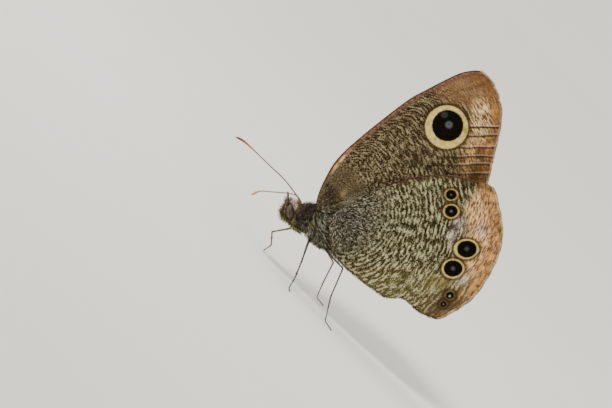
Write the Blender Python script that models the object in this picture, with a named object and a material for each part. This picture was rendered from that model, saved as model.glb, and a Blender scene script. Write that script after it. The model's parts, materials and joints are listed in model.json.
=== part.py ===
"""Himalayan variegated five-ring, a small satyrid butterfly, life size.

It stands on a flat floor with its wings closed over its back. All sizes in the tables are
millimetres in the animal's own frame: X runs from head (-) to tail (+) along the floor, Y from
its left side (-) to its right (+), with the body's middle plane at 0, and Z up from the floor.
"""

import math
import random

import bmesh
import bpy
from mathutils import Vector
from mathutils.geometry import delaunay_2d_cdt

MM = 0.001
THICK = 0.5
ROD = THICK / 2

# Where the animal's own frame lies in the world, so that the origin is the box's bottom centre
SHIFT_X = 0.7
SHIFT_Y = -1.2

# Body, from the neck to the tip of the abdomen
HEAD_CENTRE = (-5.95, 5.95)
HEAD_HALF = (0.9, 1.05, 1.05)
EYE_CENTRE = (-6.1, 0.86, 5.85)
EYE_HALF = (0.6, 0.42, 0.66)
EYE_CLEAR = 0.25
THORAX_MID = 6.8
THORAX_WIDTH = 1.7
THORAX_HEIGHT = 1.8
ABDOMEN_START = (1.4, 6.85)
ABDOMEN_END = (9.4, 8.1)
ABDOMEN_RADIUS = 1.05
ABDOMEN_RINGS = 8

# Thorax stations: place along X, and the share of full width and height there
THORAX_STATIONS = [
    (-4.7, 0.50, 0.50),
    (-4.4, 0.77, 0.78),
    (-3.6, 0.95, 0.96),
    (-2.2, 1.00, 1.00),
    (-1.0, 0.97, 0.97),
    (0.0, 0.86, 0.86),
    (0.8, 0.68, 0.70),
    (1.1, 0.52, 0.56),
]

# Locks of the bristly coat in rows round the body: place along X, first and last angle from the
# animal's right side upwards in degrees, how many, length, and how far they lean back (-1 to 1)
HEAD_LOCKS = [
    (-6.5, 236, 304, 4, 0.9, -0.3),
    (-6.15, 230, 310, 5, 1.0, 0.3),
    (-5.75, 228, 312, 5, 1.0, 0.5),
    (-5.4, 232, 308, 4, 0.9, 0.7),
    (-5.75, 62, 118, 4, 0.8, 0.6),
    (-5.35, 38, 142, 6, 0.8, 0.7),
]
THORAX_LOCKS = [
    (-4.3, 148, 182, 3, 0.9, 0.8),
    (-4.3, -2, 32, 3, 0.9, 0.8),
    (-4.3, 200, 228, 3, 0.9, 0.8),
    (-4.3, 312, 340, 3, 0.9, 0.8),
    (-3.75, 194, 236, 4, 0.9, 0.8),
    (-3.75, 304, 346, 4, 0.9, 0.8),
    (-3.7, 60, 120, 4, 0.8, 0.8),
    (-3.0, 72, 108, 3, 0.9, 0.85),
    (-3.6, 254, 286, 3, 0.9, 0.8),
    (-3.0, 184, 216, 3, 1.0, 0.9),
    (-3.0, 324, 356, 3, 1.0, 0.9),
    (-2.1, 198, 226, 3, 1.0, 0.9),
    (-2.1, 314, 342, 3, 1.0, 0.9),
    (-1.9, 258, 282, 2, 0.9, 0.8),
    (-1.3, 204, 226, 2, 1.0, 0.9),
    (-1.3, 314, 336, 2, 1.0, 0.9),
    (-0.9, 252, 288, 3, 0.9, 0.9),
    (0.3, 256, 284, 2, 0.9, 1.0),
]
LOCK_WIDTH = 0.5
LOCK_DEPTH = 0.28
LOCK_SUNK = 0.22
LOCK_SEED = 4

# Wing outlines, from the front of the root round the tip to the back of the root
FOREWING_OUTLINE = [
    (-4.7, 8.45), (-5.9, 11.2), (-6.33, 14.9), (-5.4, 22.5), (-4.5, 25.75), (-3.4, 28.85),
    (-2.6, 30.2), (-1.75, 30.95), (-0.5, 31.15), (0.8, 30.8), (3.2, 29.2), (5.6, 25.5),
    (7.6, 21.6), (7.6, 19.6), (4.4, 16.4), (-0.4, 11.6), (-3.3, 8.45),
]
HINDWING_OUTLINE = [
    (-2.7, 8.4), (-1.9, 11.6), (-0.6, 15.1), (1.4, 18.4), (3.8, 20.7), (6.4, 22.2), (8.05, 22.85),
    (9.75, 22.1), (11.85, 20.25), (13.4, 18.1), (14.4, 15.0), (14.7, 12.4), (14.15, 9.8),
    (13.3, 8.3), (11.3, 7.62), (9.9, 7.6), (8.9, 7.35), (7.9, 6.45), (6.9, 6.1), (3.4, 5.7),
    (0.9, 5.8), (-0.7, 6.6), (-1.8, 7.5),
]

# Veins of the wings, each from the root or the cell to near the margin
FOREWING_VEINS = {
    "subcosta": [(-4.3, 9.0), (-5.3, 12.5), (-5.6, 17.0), (-5.0, 20.8), (-4.6, 22.6)],
    "radius": [(-4.1, 9.0), (-4.6, 13.0), (-4.4, 16.9), (-3.7, 20.3)],
    "radius_1": [(-4.4, 16.9), (-4.3, 20.8), (-3.9, 24.8)],
    "radius_2": [(-3.7, 20.3), (-3.4, 24.0), (-3.0, 27.2)],
    "radius_3": [(-3.7, 20.3), (-2.9, 24.5), (-2.1, 28.0), (-1.9, 29.7)],
    "radius_4": [(-2.1, 28.0), (-1.1, 29.5), (-0.6, 30.4)],
    "radius_5": [(-2.6, 26.0), (-0.9, 28.2), (0.95, 29.8)],
    "media_1": [(-3.7, 20.3), (-1.2, 24.9), (2.7, 28.9)],
    "media_2": [(-2.2, 20.2), (0.8, 23.8), (4.1, 27.0)],
    "media_3": [(-0.3, 20.4), (2.4, 22.6), (5.2, 25.1)],
    "cubitus": [(-3.9, 9.2), (-2.4, 13.0), (-1.1, 16.6), (-0.3, 20.4)],
    "cubitus_1": [(-0.5, 19.2), (3.0, 21.3), (6.3, 23.3)],
    "cubitus_2": [(-1.5, 15.4), (2.4, 18.4), (7.1, 21.6)],
    "cell_end": [(-3.7, 20.3), (-2.2, 20.0), (-0.3, 20.4)],
    "anal": [(-3.6, 9.1), (-0.6, 12.5), (3.4, 16.6), (6.9, 20.0)],
}
HINDWING_VEINS = {
    "subcosta": [(-2.2, 8.8), (-0.9, 12.4), (0.9, 16.3), (4.2, 19.9), (6.5, 21.6)],
    "radius": [(-1.9, 8.7), (0.2, 12.0), (2.2, 14.8), (4.2, 17.8), (7.6, 22.2)],
    "media_1": [(3.4, 16.6), (5.9, 18.7), (9.2, 21.9)],
    "media_2": [(4.6, 15.0), (7.9, 17.4), (11.3, 20.2)],
    "media_3": [(6.3, 13.6), (9.4, 16.3), (12.9, 17.8)],
    "cubitus": [(-1.6, 8.4), (1.5, 9.7), (4.4, 11.3), (6.3, 13.6)],
    "cubitus_1": [(6.3, 13.6), (10.2, 14.7), (14.0, 14.5)],
    "cubitus_2": [(4.4, 11.3), (9.4, 12.0), (14.1, 12.0)],
    "cell_end": [(3.4, 16.6), (4.6, 15.0), (6.3, 13.6)],
    "anal_2": [(-1.4, 8.0), (4.4, 9.2), (9.2, 9.6), (13.1, 9.1)],
    "anal_3": [(-1.1, 7.7), (3.4, 7.3), (6.6, 7.3), (8.3, 7.4)],
}
VEIN_HALF = 0.26
VEIN_CREST = 0.12
SWOLLEN_VEINS = ("subcosta",)

# How far the wings' middle surfaces stand from the body's middle plane
FORE_CLOSED = 0.4
FORE_ROOT = 1.3
ROOT_LEVEL = 8.5
ROOT_RISE = 4.5
HIND_OVER_FORE = 0.93
HIND_CLOSED = 0.6
HIND_ROUND_ABDOMEN = 1.65
HIND_ROUND_THORAX = 2.15
FORE_HIND_MARGIN = ((-3.4, 8.2), (8.2, 20.5))

# Fineness of the wing's faces
OUTLINE_STEP = 1.1
VEIN_STEP = 1.9
FILL_STEP = 1.9

# Feelers, mouth parts and legs: centre lines from the body out
ANTENNA_LEFT = [
    (-5.95, -0.4, 7.4), (-8.7, -1.3, 7.95), (-11.4, -2.1, 8.1), (-13.9, -2.7, 8.2),
    (-15.2, -3.0, 8.2), (-16.2, -3.2, 7.95),
]
ANTENNA_RIGHT = [
    (-5.95, 0.4, 7.4), (-6.9, 1.2, 7.2), (-8.4, 4.0, 5.5), (-9.3, 6.0, 4.3), (-9.5, 7.6, 3.2),
]
PALP = [(-6.85, 0.4, 4.85), (-7.3, 0.42, 5.45), (-7.42, 0.45, 6.2), (-7.7, 0.48, 7.1)]
FORELEG = [(-3.7, 0.9, 4.6), (-4.5, 1.15, 4.5), (-5.0, 1.3, 4.05), (-4.9, 1.35, 3.5), (-4.3, 1.4, 3.2)]
MIDLEG_LEFT = [
    (-2.4, -1.0, 4.9), (-2.2, -2.4, 4.3), (-1.7, -3.6, 3.0), (-1.2, -4.3, 1.6),
    (-0.8, -4.7, 0.25), (-0.6, -5.3, 0.2),
]
MIDLEG_RIGHT = [
    (-2.6, 1.0, 4.9), (-4.3, 2.0, 4.5), (-5.1, 2.9, 3.5), (-5.75, 3.6, 2.5), (-5.0, 4.2, 1.35),
    (-4.75, 4.6, 0.3), (-4.6, 5.4, 0.2),
]
HINDLEG_LEFT = [
    (-0.4, -1.0, 4.9), (0.7, -2.4, 5.0), (1.95, -4.0, 5.5), (3.0, -4.5, 2.6),
    (4.3, -4.9, 0.45), (5.6, -5.2, 0.2),
]
HINDLEG_RIGHT = [
    (-0.2, 1.0, 4.9), (0.7, 2.3, 4.6), (1.6, 3.6, 4.3), (2.4, 4.2, 2.1),
    (3.0, 4.6, 0.3), (4.3, 5.3, 0.2),
]

# Colour, and roughness, of each kind of surface
FINISHES = {
    "wing_brown": ((0.16, 0.12, 0.08), 0.75),
    "body_hair": ((0.10, 0.085, 0.065), 0.9),
    "eye_brown": ((0.07, 0.035, 0.02), 0.25),
    "feeler_brown": ((0.16, 0.09, 0.05), 0.6),
    "leg_brown": ((0.07, 0.05, 0.03), 0.6),
}


def clear_scene():
    for item in list(bpy.data.objects):
        bpy.data.objects.remove(item, do_unlink=True)


def finish(name):
    """The material of one kind of surface, made the first time it is asked for."""
    found = bpy.data.materials.get(name)
    if found:
        return found
    colour, roughness = FINISHES[name]
    made = bpy.data.materials.new(name)
    made.use_nodes = True
    shader = made.node_tree.nodes["Principled BSDF"]
    shader.inputs["Base Color"].default_value = (*colour, 1.0)
    shader.inputs["Roughness"].default_value = roughness
    shader.inputs["Metallic"].default_value = 0.0
    return made


def add_piece(name, points, faces, surface, middle):
    """A node: a closed mesh from points in millimetres, with its faces turned outwards."""
    mesh = bpy.data.meshes.new(name)
    mesh.from_pydata([Vector(p) * MM for p in points], [], faces)
    shape = bmesh.new()
    shape.from_mesh(mesh)
    bmesh.ops.recalc_face_normals(shape, faces=shape.faces)
    shape.to_mesh(mesh)
    shape.free()
    mesh.materials.append(finish(surface))
    mesh.shade_smooth()
    mesh.set_sharp_from_angle(angle=math.radians(40))
    piece = bpy.data.objects.new(name, mesh)
    bpy.context.scene.collection.objects.link(piece)
    piece.parent = middle
    return piece


def ease(t):
    """A smooth step from 0 to 1."""
    t = min(max(t, 0.0), 1.0)
    return t * t * (3 - 2 * t)


def curve_through(points, per_span, closed=False):
    """Points on a Catmull-Rom curve through the given ones."""
    count = len(points)
    spans = count if closed else count - 1
    vectors = [Vector(p) for p in points]

    def at(i):
        if closed:
            return vectors[i % count]
        return vectors[min(max(i, 0), count - 1)]

    line = []
    for i in range(spans):
        before, start, end, after = at(i - 1), at(i), at(i + 1), at(i + 2)
        for step in range(per_span):
            t = step / per_span
            line.append(
                0.5 * ((2 * start) + (end - before) * t
                       + (2 * before - 5 * start + 4 * end - after) * t * t
                       + (3 * start - before - 3 * end + after) * t ** 3)
            )
    if not closed:
        line.append(vectors[-1])
    return line


def evenly(line, step, closed=False):
    """The same line with its points about one step apart."""
    if closed:
        line = line + [line[0]]
    lengths = [(b - a).length for a, b in zip(line, line[1:])]
    count = max(2, round(sum(lengths) / step))
    spacing = sum(lengths) / count
    even = [line[0]]
    travelled = 0.0
    for a, b, length in zip(line, line[1:], lengths):
        while len(even) * spacing <= travelled + length + 1e-9 and len(even) <= count:
            share = (len(even) * spacing - travelled) / length if length else 0.0
            even.append(a.lerp(b, min(share, 1.0)))
        travelled += length
    if closed:
        return even[:count]
    even[-1] = line[-1]
    return even


def loft(rings):
    """Points and faces of a closed body through rings of equal counts, with flat ends."""
    count = len(rings[0])
    points = [p for ring in rings for p in ring]
    faces = []
    for r in range(len(rings) - 1):
        for i in range(count):
            j = (i + 1) % count
            faces.append((r * count + i, r * count + j, (r + 1) * count + j, (r + 1) * count + i))
    faces.append(tuple(range(count)))
    faces.append(tuple((len(rings) - 1) * count + i for i in range(count)))
    return points, faces


def ellipsoid(centre, half, around, along):
    """Points and faces of an ellipsoid with its poles fore and aft."""
    points = [(centre[0] - half[0], centre[1], centre[2])]
    for r in range(1, along):
        polar = math.pi * r / along
        for i in range(around):
            turn = 2 * math.pi * (i + 0.5) / around
            points.append((
                centre[0] - half[0] * math.cos(polar),
                centre[1] + half[1] * math.sin(polar) * math.cos(turn),
                centre[2] + half[2] * math.sin(polar) * math.sin(turn),
            ))
    points.append((centre[0] + half[0], centre[1], centre[2]))
    last = len(points) - 1
    faces = []
    for i in range(around):
        j = (i + 1) % around
        faces.append((0, 1 + i, 1 + j))
        faces.append((last, last - around + j, last - around + i))
        for r in range(along - 2):
            a = 1 + r * around
            faces.append((a + i, a + around + i, a + around + j, a + j))
    return points, faces


def rod(path, radii, sides=8):
    """Points and faces of a round rod along a path, cut flat where it lies on the floor."""
    rings = []
    across = None
    for k, centre in enumerate(path):
        ahead = (path[min(k + 1, len(path) - 1)] - path[max(k - 1, 0)]).normalized()
        if across is None:
            across = ahead.cross(Vector((0, 0, 1)))
        across = (across - ahead * across.dot(ahead)).normalized()
        upward = across.cross(ahead)
        ring = []
        for i in range(sides):
            turn = 2 * math.pi * (i + 0.5) / sides
            p = centre + radii[k] * (math.cos(turn) * across + math.sin(turn) * upward)
            ring.append(Vector((p.x, p.y, max(p.z, 0.0))))
        rings.append(ring)
    return loft(rings)


def limb(name, points, surface, middle, side=1, thin_tip=0.5, club=1.0, per_span=4):
    """A feeler, palp or leg: an even rod that may swell to a club and thins at its tip."""
    path = [Vector((p[0], p[1] * side, p[2])) for p in curve_through(points, per_span)]
    last = len(path) - 1
    radii = [ROD * (1 + (club - 1) * ease((k / last - 0.7) / 0.2)) for k in range(last + 1)]
    radii[-1] *= thin_tip
    return add_piece(name, *rod(path, radii), surface, middle)


def cut_away(target, cutter):
    """Takes the cutter's shape out of the target and removes the cutter."""
    boolean = target.modifiers.new("cut", "BOOLEAN")
    boolean.operation = "DIFFERENCE"
    boolean.solver = "EXACT"
    boolean.object = cutter
    bpy.context.view_layer.update()
    graph = bpy.context.evaluated_depsgraph_get()
    result = bpy.data.meshes.new_from_object(target.evaluated_get(graph))
    target.modifiers.clear()
    target.data = result
    bpy.data.objects.remove(cutter, do_unlink=True)


def lock(root, outward, lie, length):
    """Points and faces of one flat, tapered lock: sunk root, bent middle and a fine tip."""
    across = outward.cross(lie).normalized()
    stations = (
        (root - outward * LOCK_SUNK, 1.0),
        (root + outward * length * 0.2 + lie * length * 0.12, 1.0),
        (root + outward * length * 0.42 + lie * length * 0.5, 0.7),
        (root + outward * length * 0.45 + lie * length * 0.9, 0.12),
    )
    rings = []
    for k, (centre, share) in enumerate(stations):
        ahead = (stations[min(k + 1, 3)][0] - stations[max(k - 1, 0)][0]).normalized()
        deep = across.cross(ahead).normalized()
        wide = across * LOCK_WIDTH / 2 * share
        thick = deep * LOCK_DEPTH / 2 * share
        rings.append([centre + wide, centre + thick, centre - wide, centre - thick])
    return loft(rings)


def add_locks(body, skin, rows, middle):
    """Joins rows of locks to the body, each varied a little in place, length and lean."""
    draw = random.Random(LOCK_SEED)
    tufts = bpy.data.collections.new(body.name + "_locks")
    bpy.context.scene.collection.children.link(tufts)
    for x, first, final, count, length, lean in rows:
        for i in range(count):
            share = i / (count - 1) if count > 1 else 0.5
            turn = math.radians(first + (final - first) * share + draw.uniform(-2, 2))
            root = skin(x + draw.uniform(-0.05, 0.05), turn)
            outward = (root - skin(x, turn + math.pi)).normalized()
            lie = Vector((1, 0, 0)) * (1 if lean > 0 else -1)
            lie = (lie - outward * lie.dot(outward)).normalized()
            lie = (lie * abs(lean) + outward * (1.2 - abs(lean))).normalized()
            made = lock(root, outward, lie, length * draw.uniform(0.88, 1.1))
            piece = add_piece(f"lock_{body.name}_{len(tufts.objects)}", *made, "body_hair", middle)
            bpy.context.scene.collection.objects.unlink(piece)
            tufts.objects.link(piece)
    union = body.modifiers.new("locks", "BOOLEAN")
    union.operation = "UNION"
    union.operand_type = "COLLECTION"
    union.solver = "EXACT"
    union.collection = tufts
    bpy.context.view_layer.update()
    graph = bpy.context.evaluated_depsgraph_get()
    result = bpy.data.meshes.new_from_object(body.evaluated_get(graph))
    body.modifiers.clear()
    body.data = result
    for piece in list(tufts.objects):
        bpy.data.objects.remove(piece, do_unlink=True)
    bpy.data.collections.remove(tufts)
    keep_largest(body)


def keep_largest(piece):
    """Drops any closed surface but the largest, such as a hollow sealed by the union."""
    shape = bmesh.new()
    shape.from_mesh(piece.data)
    left = set(shape.verts)
    groups = []
    while left:
        group = {left.pop()}
        front = list(group)
        while front:
            near = {e.other_vert(v) for v in front for e in v.link_edges} & left
            left -= near
            group |= near
            front = list(near)
        groups.append(group)
    largest = max(groups, key=len)
    extra = [v for group in groups if group is not largest for v in group]
    bmesh.ops.delete(shape, geom=extra, context="VERTS")
    shape.to_mesh(piece.data)
    shape.free()


def head_skin(x, turn):
    """A point of the head's surface at a place along X and an angle round it."""
    share = math.sqrt(max(0.0, 1 - ((x - HEAD_CENTRE[0]) / HEAD_HALF[0]) ** 2))
    return Vector((
        x,
        HEAD_HALF[1] * share * math.cos(turn),
        HEAD_CENTRE[1] + HEAD_HALF[2] * share * math.sin(turn),
    ))


def thorax_skin(x, turn):
    """The same for the thorax, between its stations."""
    for (xa, wa, ha), (xb, wb, hb) in zip(THORAX_STATIONS, THORAX_STATIONS[1:]):
        if xa <= x <= xb:
            t = (x - xa) / (xb - xa)
            wide = THORAX_WIDTH * (wa + (wb - wa) * t)
            high = THORAX_HEIGHT * (ha + (hb - ha) * t)
            return Vector((x, wide * math.cos(turn), THORAX_MID + high * math.sin(turn)))
    raise ValueError("outside the thorax")


def make_head(middle):
    centre = (HEAD_CENTRE[0], 0.0, HEAD_CENTRE[1])
    head = add_piece("head", *ellipsoid(centre, HEAD_HALF, 20, 12), "body_hair", middle)
    for side, letter in ((-1, "l"), (1, "r")):
        place = (EYE_CENTRE[0], EYE_CENTRE[1] * side, EYE_CENTRE[2])
        roomy = [h + EYE_CLEAR for h in EYE_HALF]
        socket = add_piece("socket", *ellipsoid(place, roomy, 16, 10), "body_hair", middle)
        cut_away(head, socket)
        add_piece(f"eye_{letter}", *ellipsoid(place, EYE_HALF, 16, 10), "eye_brown", middle)
    add_locks(head, head_skin, HEAD_LOCKS, middle)


def make_thorax(middle):
    sides = 24
    rings = []
    for x, wide, high in THORAX_STATIONS:
        ring = []
        for i in range(sides):
            turn = 2 * math.pi * i / sides
            ring.append((
                x,
                THORAX_WIDTH * wide * math.cos(turn),
                THORAX_MID + THORAX_HEIGHT * high * math.sin(turn),
            ))
        rings.append(ring)
    thorax = add_piece("thorax", *loft(rings), "body_hair", middle)
    add_locks(thorax, thorax_skin, THORAX_LOCKS, middle)


def make_abdomen(middle):
    """A slender spindle, pinched between its rings."""
    sides = 16
    per_ring = 3
    start = Vector((ABDOMEN_START[0], 0, ABDOMEN_START[1]))
    end = Vector((ABDOMEN_END[0], 0, ABDOMEN_END[1]))
    ahead = (end - start).normalized()
    upward = Vector((0, 1, 0)).cross(ahead) * -1
    stations = ABDOMEN_RINGS * per_ring
    rings = []
    for k in range(stations + 1):
        t = k / stations
        belly = math.sqrt(max(0.0, 1 - (2 * t - 0.8) ** 2 / 1.55))
        pinch = 0.94 if k % per_ring == 0 else 1.0
        radius = ABDOMEN_RADIUS * belly * pinch
        rings.append([
            start.lerp(end, t) + radius * (
                math.cos(2 * math.pi * i / sides) * Vector((0, 1, 0))
                + math.sin(2 * math.pi * i / sides) * upward
            )
            for i in range(sides)
        ])
    add_piece("abdomen", *loft(rings), "body_hair", middle)


def fore_offset(x, z):
    """Distance of the forewing's middle surface from the body's middle plane."""
    return FORE_CLOSED + (FORE_ROOT - FORE_CLOSED) * (1 - ease((z - ROOT_LEVEL) / ROOT_RISE))


def hind_offset(x, z):
    """The same for the hindwing: over the forewing, round the abdomen, closed behind."""
    (ax, az), (bx, bz) = FORE_HIND_MARGIN
    length = math.hypot(bx - ax, bz - az)
    behind = ((x - ax) * (bz - az) - (z - az) * (bx - ax)) / length
    over = 1 - ease((behind - 0.3) / 4.0)
    start, end = Vector(ABDOMEN_START), Vector(ABDOMEN_END)
    share = min(max((Vector((x, z)) - start).dot(end - start) / (end - start).length_squared, -0.4), 1.0)
    away = (Vector((x, z)) - start.lerp(end, share)).length
    body = HIND_ROUND_ABDOMEN + (HIND_ROUND_THORAX - HIND_ROUND_ABDOMEN) * (1 - ease(x / 2.5))
    hugging = HIND_CLOSED + (body - HIND_CLOSED) * (1 - ease((away - 1.0) / 4.5))
    return over * (fore_offset(x, z) + HIND_OVER_FORE) + (1 - over) * hugging


def inside(point, outline):
    hit = False
    for a, b in zip(outline, outline[1:] + outline[:1]):
        if (a.y > point.y) != (b.y > point.y):
            if point.x < (b.x - a.x) * (point.y - a.y) / (b.y - a.y) + a.x:
                hit = not hit
    return hit


def distance_to(point, line):
    """Shortest distance from a point to a run of straight stretches."""
    best = math.inf
    for a, b in zip(line, line[1:]):
        along = b - a
        share = min(max((point - a).dot(along) / along.length_squared, 0.0), 1.0)
        best = min(best, (point - a - along * share).length)
    return best


def vein_half(name):
    return VEIN_HALF * (1.5 if name in SWOLLEN_VEINS else 1.0)


def wing_plan(outline_points, vein_table):
    """The wing in plan: points, triangles, how many points lie on the margin, and the veins."""
    outline = evenly(curve_through(outline_points, 12, closed=True), OUTLINE_STEP, closed=True)
    veins = {
        name: evenly(curve_through(points, 8), VEIN_STEP) for name, points in vein_table.items()
    }
    points = list(outline)
    edges = [(i, (i + 1) % len(outline)) for i in range(len(outline))]

    def add_line(line):
        start = len(points)
        points.extend(line)
        edges.extend((start + i, start + i + 1) for i in range(len(line) - 1))

    for name, line in veins.items():
        add_line(line)
        half = vein_half(name)
        for turn in (-1, 1):
            foot = []
            for i, p in enumerate(line):
                ahead = (line[min(i + 1, len(line) - 1)] - line[max(i - 1, 0)]).normalized()
                foot.append(p + half * turn * Vector((-ahead.y, ahead.x)))
            add_line([p for p in foot if inside(p, outline)])
    low = [min(p[i] for p in outline) for i in (0, 1)]
    high = [max(p[i] for p in outline) for i in (0, 1)]
    rows = int((high[1] - low[1]) / (FILL_STEP * 0.87)) + 1
    columns = int((high[0] - low[0]) / FILL_STEP) + 1
    loop = outline + outline[:1]
    for row in range(rows):
        for column in range(columns):
            p = Vector((
                low[0] + (column + 0.5 * (row % 2)) * FILL_STEP,
                low[1] + row * FILL_STEP * 0.87,
            ))
            clear = FILL_STEP * 0.45
            if not inside(p, outline) or distance_to(p, loop) < clear:
                continue
            if all(distance_to(p, line) > clear for line in veins.values()):
                points.append(p)
    flat, _, triangles, _, _, _ = delaunay_2d_cdt(points, edges, [], 1, 0.02, False)
    return flat, triangles, veins


def ridge_height(point, veins):
    """How far the outer face stands proud here: a round-shouldered ridge over each vein."""
    height = 0.0
    for name, line in veins.items():
        half = vein_half(name)
        away = distance_to(point, line)
        if away < half:
            height = max(height, VEIN_CREST * (half / VEIN_HALF) * (1 - away / half))
    return height


def make_wing(name, side, outline_points, vein_table, offset, middle):
    """A closed vane: the same triangles on both faces, and a rim round the margin."""
    flat, triangles, veins = wing_plan(outline_points, vein_table)
    outer = []
    inner = []
    for p in flat:
        y = offset(p.x, p.y)
        outer.append((p.x, side * (y + THICK / 2 + ridge_height(p, veins)), p.y))
        inner.append((p.x, side * (y - THICK / 2), p.y))
    count = len(flat)
    faces = [tuple(t) for t in triangles]
    used = {}
    for a, b, c in faces:
        for edge in ((a, b), (b, c), (c, a)):
            used[edge] = True
    rim = [edge for edge in used if (edge[1], edge[0]) not in used]
    under = [(c + count, b + count, a + count) for a, b, c in faces]
    walls = []
    for a, b in rim:
        walls.append((b, a, a + count))
        walls.append((b, a + count, b + count))
    return add_piece(name, outer + inner, faces + under + walls, "wing_brown", middle)


def main():
    clear_scene()
    middle = bpy.data.objects.new("butterfly", None)
    middle.location = (SHIFT_X * MM, SHIFT_Y * MM, 0)
    bpy.context.scene.collection.objects.link(middle)
    make_head(middle)
    make_thorax(middle)
    make_abdomen(middle)
    for side, letter in ((-1, "l"), (1, "r")):
        make_wing(f"forewing_{letter}", side, FOREWING_OUTLINE, FOREWING_VEINS, fore_offset, middle)
        make_wing(f"hindwing_{letter}", side, HINDWING_OUTLINE, HINDWING_VEINS, hind_offset, middle)
        limb(f"palp_{letter}", PALP, "leg_brown", middle, side=side, thin_tip=0.4)
        limb(f"foreleg_{letter}", FORELEG, "leg_brown", middle, side=side)
    limb("antenna_l", ANTENNA_LEFT, "feeler_brown", middle, club=1.15)
    limb("antenna_r", ANTENNA_RIGHT, "feeler_brown", middle, club=1.15)
    limb("midleg_l", MIDLEG_LEFT, "leg_brown", middle)
    limb("midleg_r", MIDLEG_RIGHT, "leg_brown", middle)
    limb("hindleg_l", HINDLEG_LEFT, "leg_brown", middle)
    limb("hindleg_r", HINDLEG_RIGHT, "leg_brown", middle)


main()
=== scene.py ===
"""Looks of a small ringed butterfly that stands with its wings closed, life size.

Sizes are millimetres in the animal's own frame, as the solids have them: X runs from head (-)
to tail (+), Y from its left side (-) to its right (+), Z up from the floor. Tones are as the eye
sees them, 0 to 255 a channel. Each piece of tufts has a seed of its own.
"""

import json
import math

import bpy
import numpy as np
from mathutils import Matrix, Vector

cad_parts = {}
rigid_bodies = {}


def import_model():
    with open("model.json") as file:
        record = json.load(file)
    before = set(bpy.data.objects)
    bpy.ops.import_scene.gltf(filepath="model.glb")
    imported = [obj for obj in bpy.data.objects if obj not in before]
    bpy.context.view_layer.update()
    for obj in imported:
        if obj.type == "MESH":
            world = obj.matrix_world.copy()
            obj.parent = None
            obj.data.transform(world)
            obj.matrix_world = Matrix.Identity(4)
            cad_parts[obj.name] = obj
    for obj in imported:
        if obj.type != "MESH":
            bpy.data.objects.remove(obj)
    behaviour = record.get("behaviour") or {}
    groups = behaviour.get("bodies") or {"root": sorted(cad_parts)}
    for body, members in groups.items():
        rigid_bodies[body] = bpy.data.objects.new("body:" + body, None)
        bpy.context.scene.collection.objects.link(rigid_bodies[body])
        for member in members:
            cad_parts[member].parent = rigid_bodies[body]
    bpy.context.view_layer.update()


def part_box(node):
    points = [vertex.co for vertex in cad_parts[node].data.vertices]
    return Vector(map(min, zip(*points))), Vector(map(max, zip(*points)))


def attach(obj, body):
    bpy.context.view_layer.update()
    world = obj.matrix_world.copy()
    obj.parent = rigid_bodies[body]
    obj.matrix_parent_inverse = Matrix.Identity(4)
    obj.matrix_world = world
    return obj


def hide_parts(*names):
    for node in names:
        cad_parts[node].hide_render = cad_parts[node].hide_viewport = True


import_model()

MM = 0.001
SIDES = ((-1, "l"), (1, "r"))

# The eyes say where the animal's own frame lies among the solids
EYE_CENTRE = (-6.1, 0.86, 5.85)
EYES = [sum(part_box(node), Vector()) / 2 for node in ("eye_l", "eye_r")]
SHIFT = (EYES[0] + EYES[1]) / 2 - Vector((EYE_CENTRE[0], 0.0, EYE_CENTRE[2])) * MM

# The picture's frame and the view of the animal in it
PICTURE_WIDTH = 612
PIXELS_PER_MM = 9.29
VIEW_AZIMUTH = -6.0
VIEW_ELEVATION = 7.0
VIEW_ROLL = 44.0
VIEW_TARGET = (-5.34, 0.0, 7.5)
VIEW_DISTANCE = 1000.0
SENSOR = 36.0

# Wing outlines, from the front of the root round the tip to the back of the root
FOREWING_OUTLINE = [
    (-4.7, 8.45), (-5.9, 11.2), (-6.33, 14.9), (-5.4, 22.5), (-4.5, 25.75), (-3.4, 28.85),
    (-2.6, 30.2), (-1.75, 30.95), (-0.5, 31.15), (0.8, 30.8), (3.2, 29.2), (5.6, 25.5),
    (7.6, 21.6), (7.6, 19.6), (4.4, 16.4), (-0.4, 11.6), (-3.3, 8.45),
]
HINDWING_OUTLINE = [
    (-2.7, 8.4), (-1.9, 11.6), (-0.6, 15.1), (1.4, 18.4), (3.8, 20.7), (6.4, 22.2), (7.8, 22.74),
    (9.6, 21.95), (11.85, 20.25), (13.4, 18.1), (14.4, 15.0), (14.7, 12.4), (14.15, 9.8),
    (13.3, 8.3), (11.3, 7.62), (9.9, 7.6), (8.9, 7.35), (7.9, 6.45), (6.9, 6.1), (3.4, 5.7),
    (0.9, 5.8), (-0.7, 6.6), (-1.8, 7.5),
]
# The first and last outline points of each front and outer margin
FORE_COSTA = (0, 7)
FORE_TERMEN = (7, 12)
HIND_COSTA = (0, 6)
HIND_TERMEN = (6, 13)
HIND_INNER = (13, 22)

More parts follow.
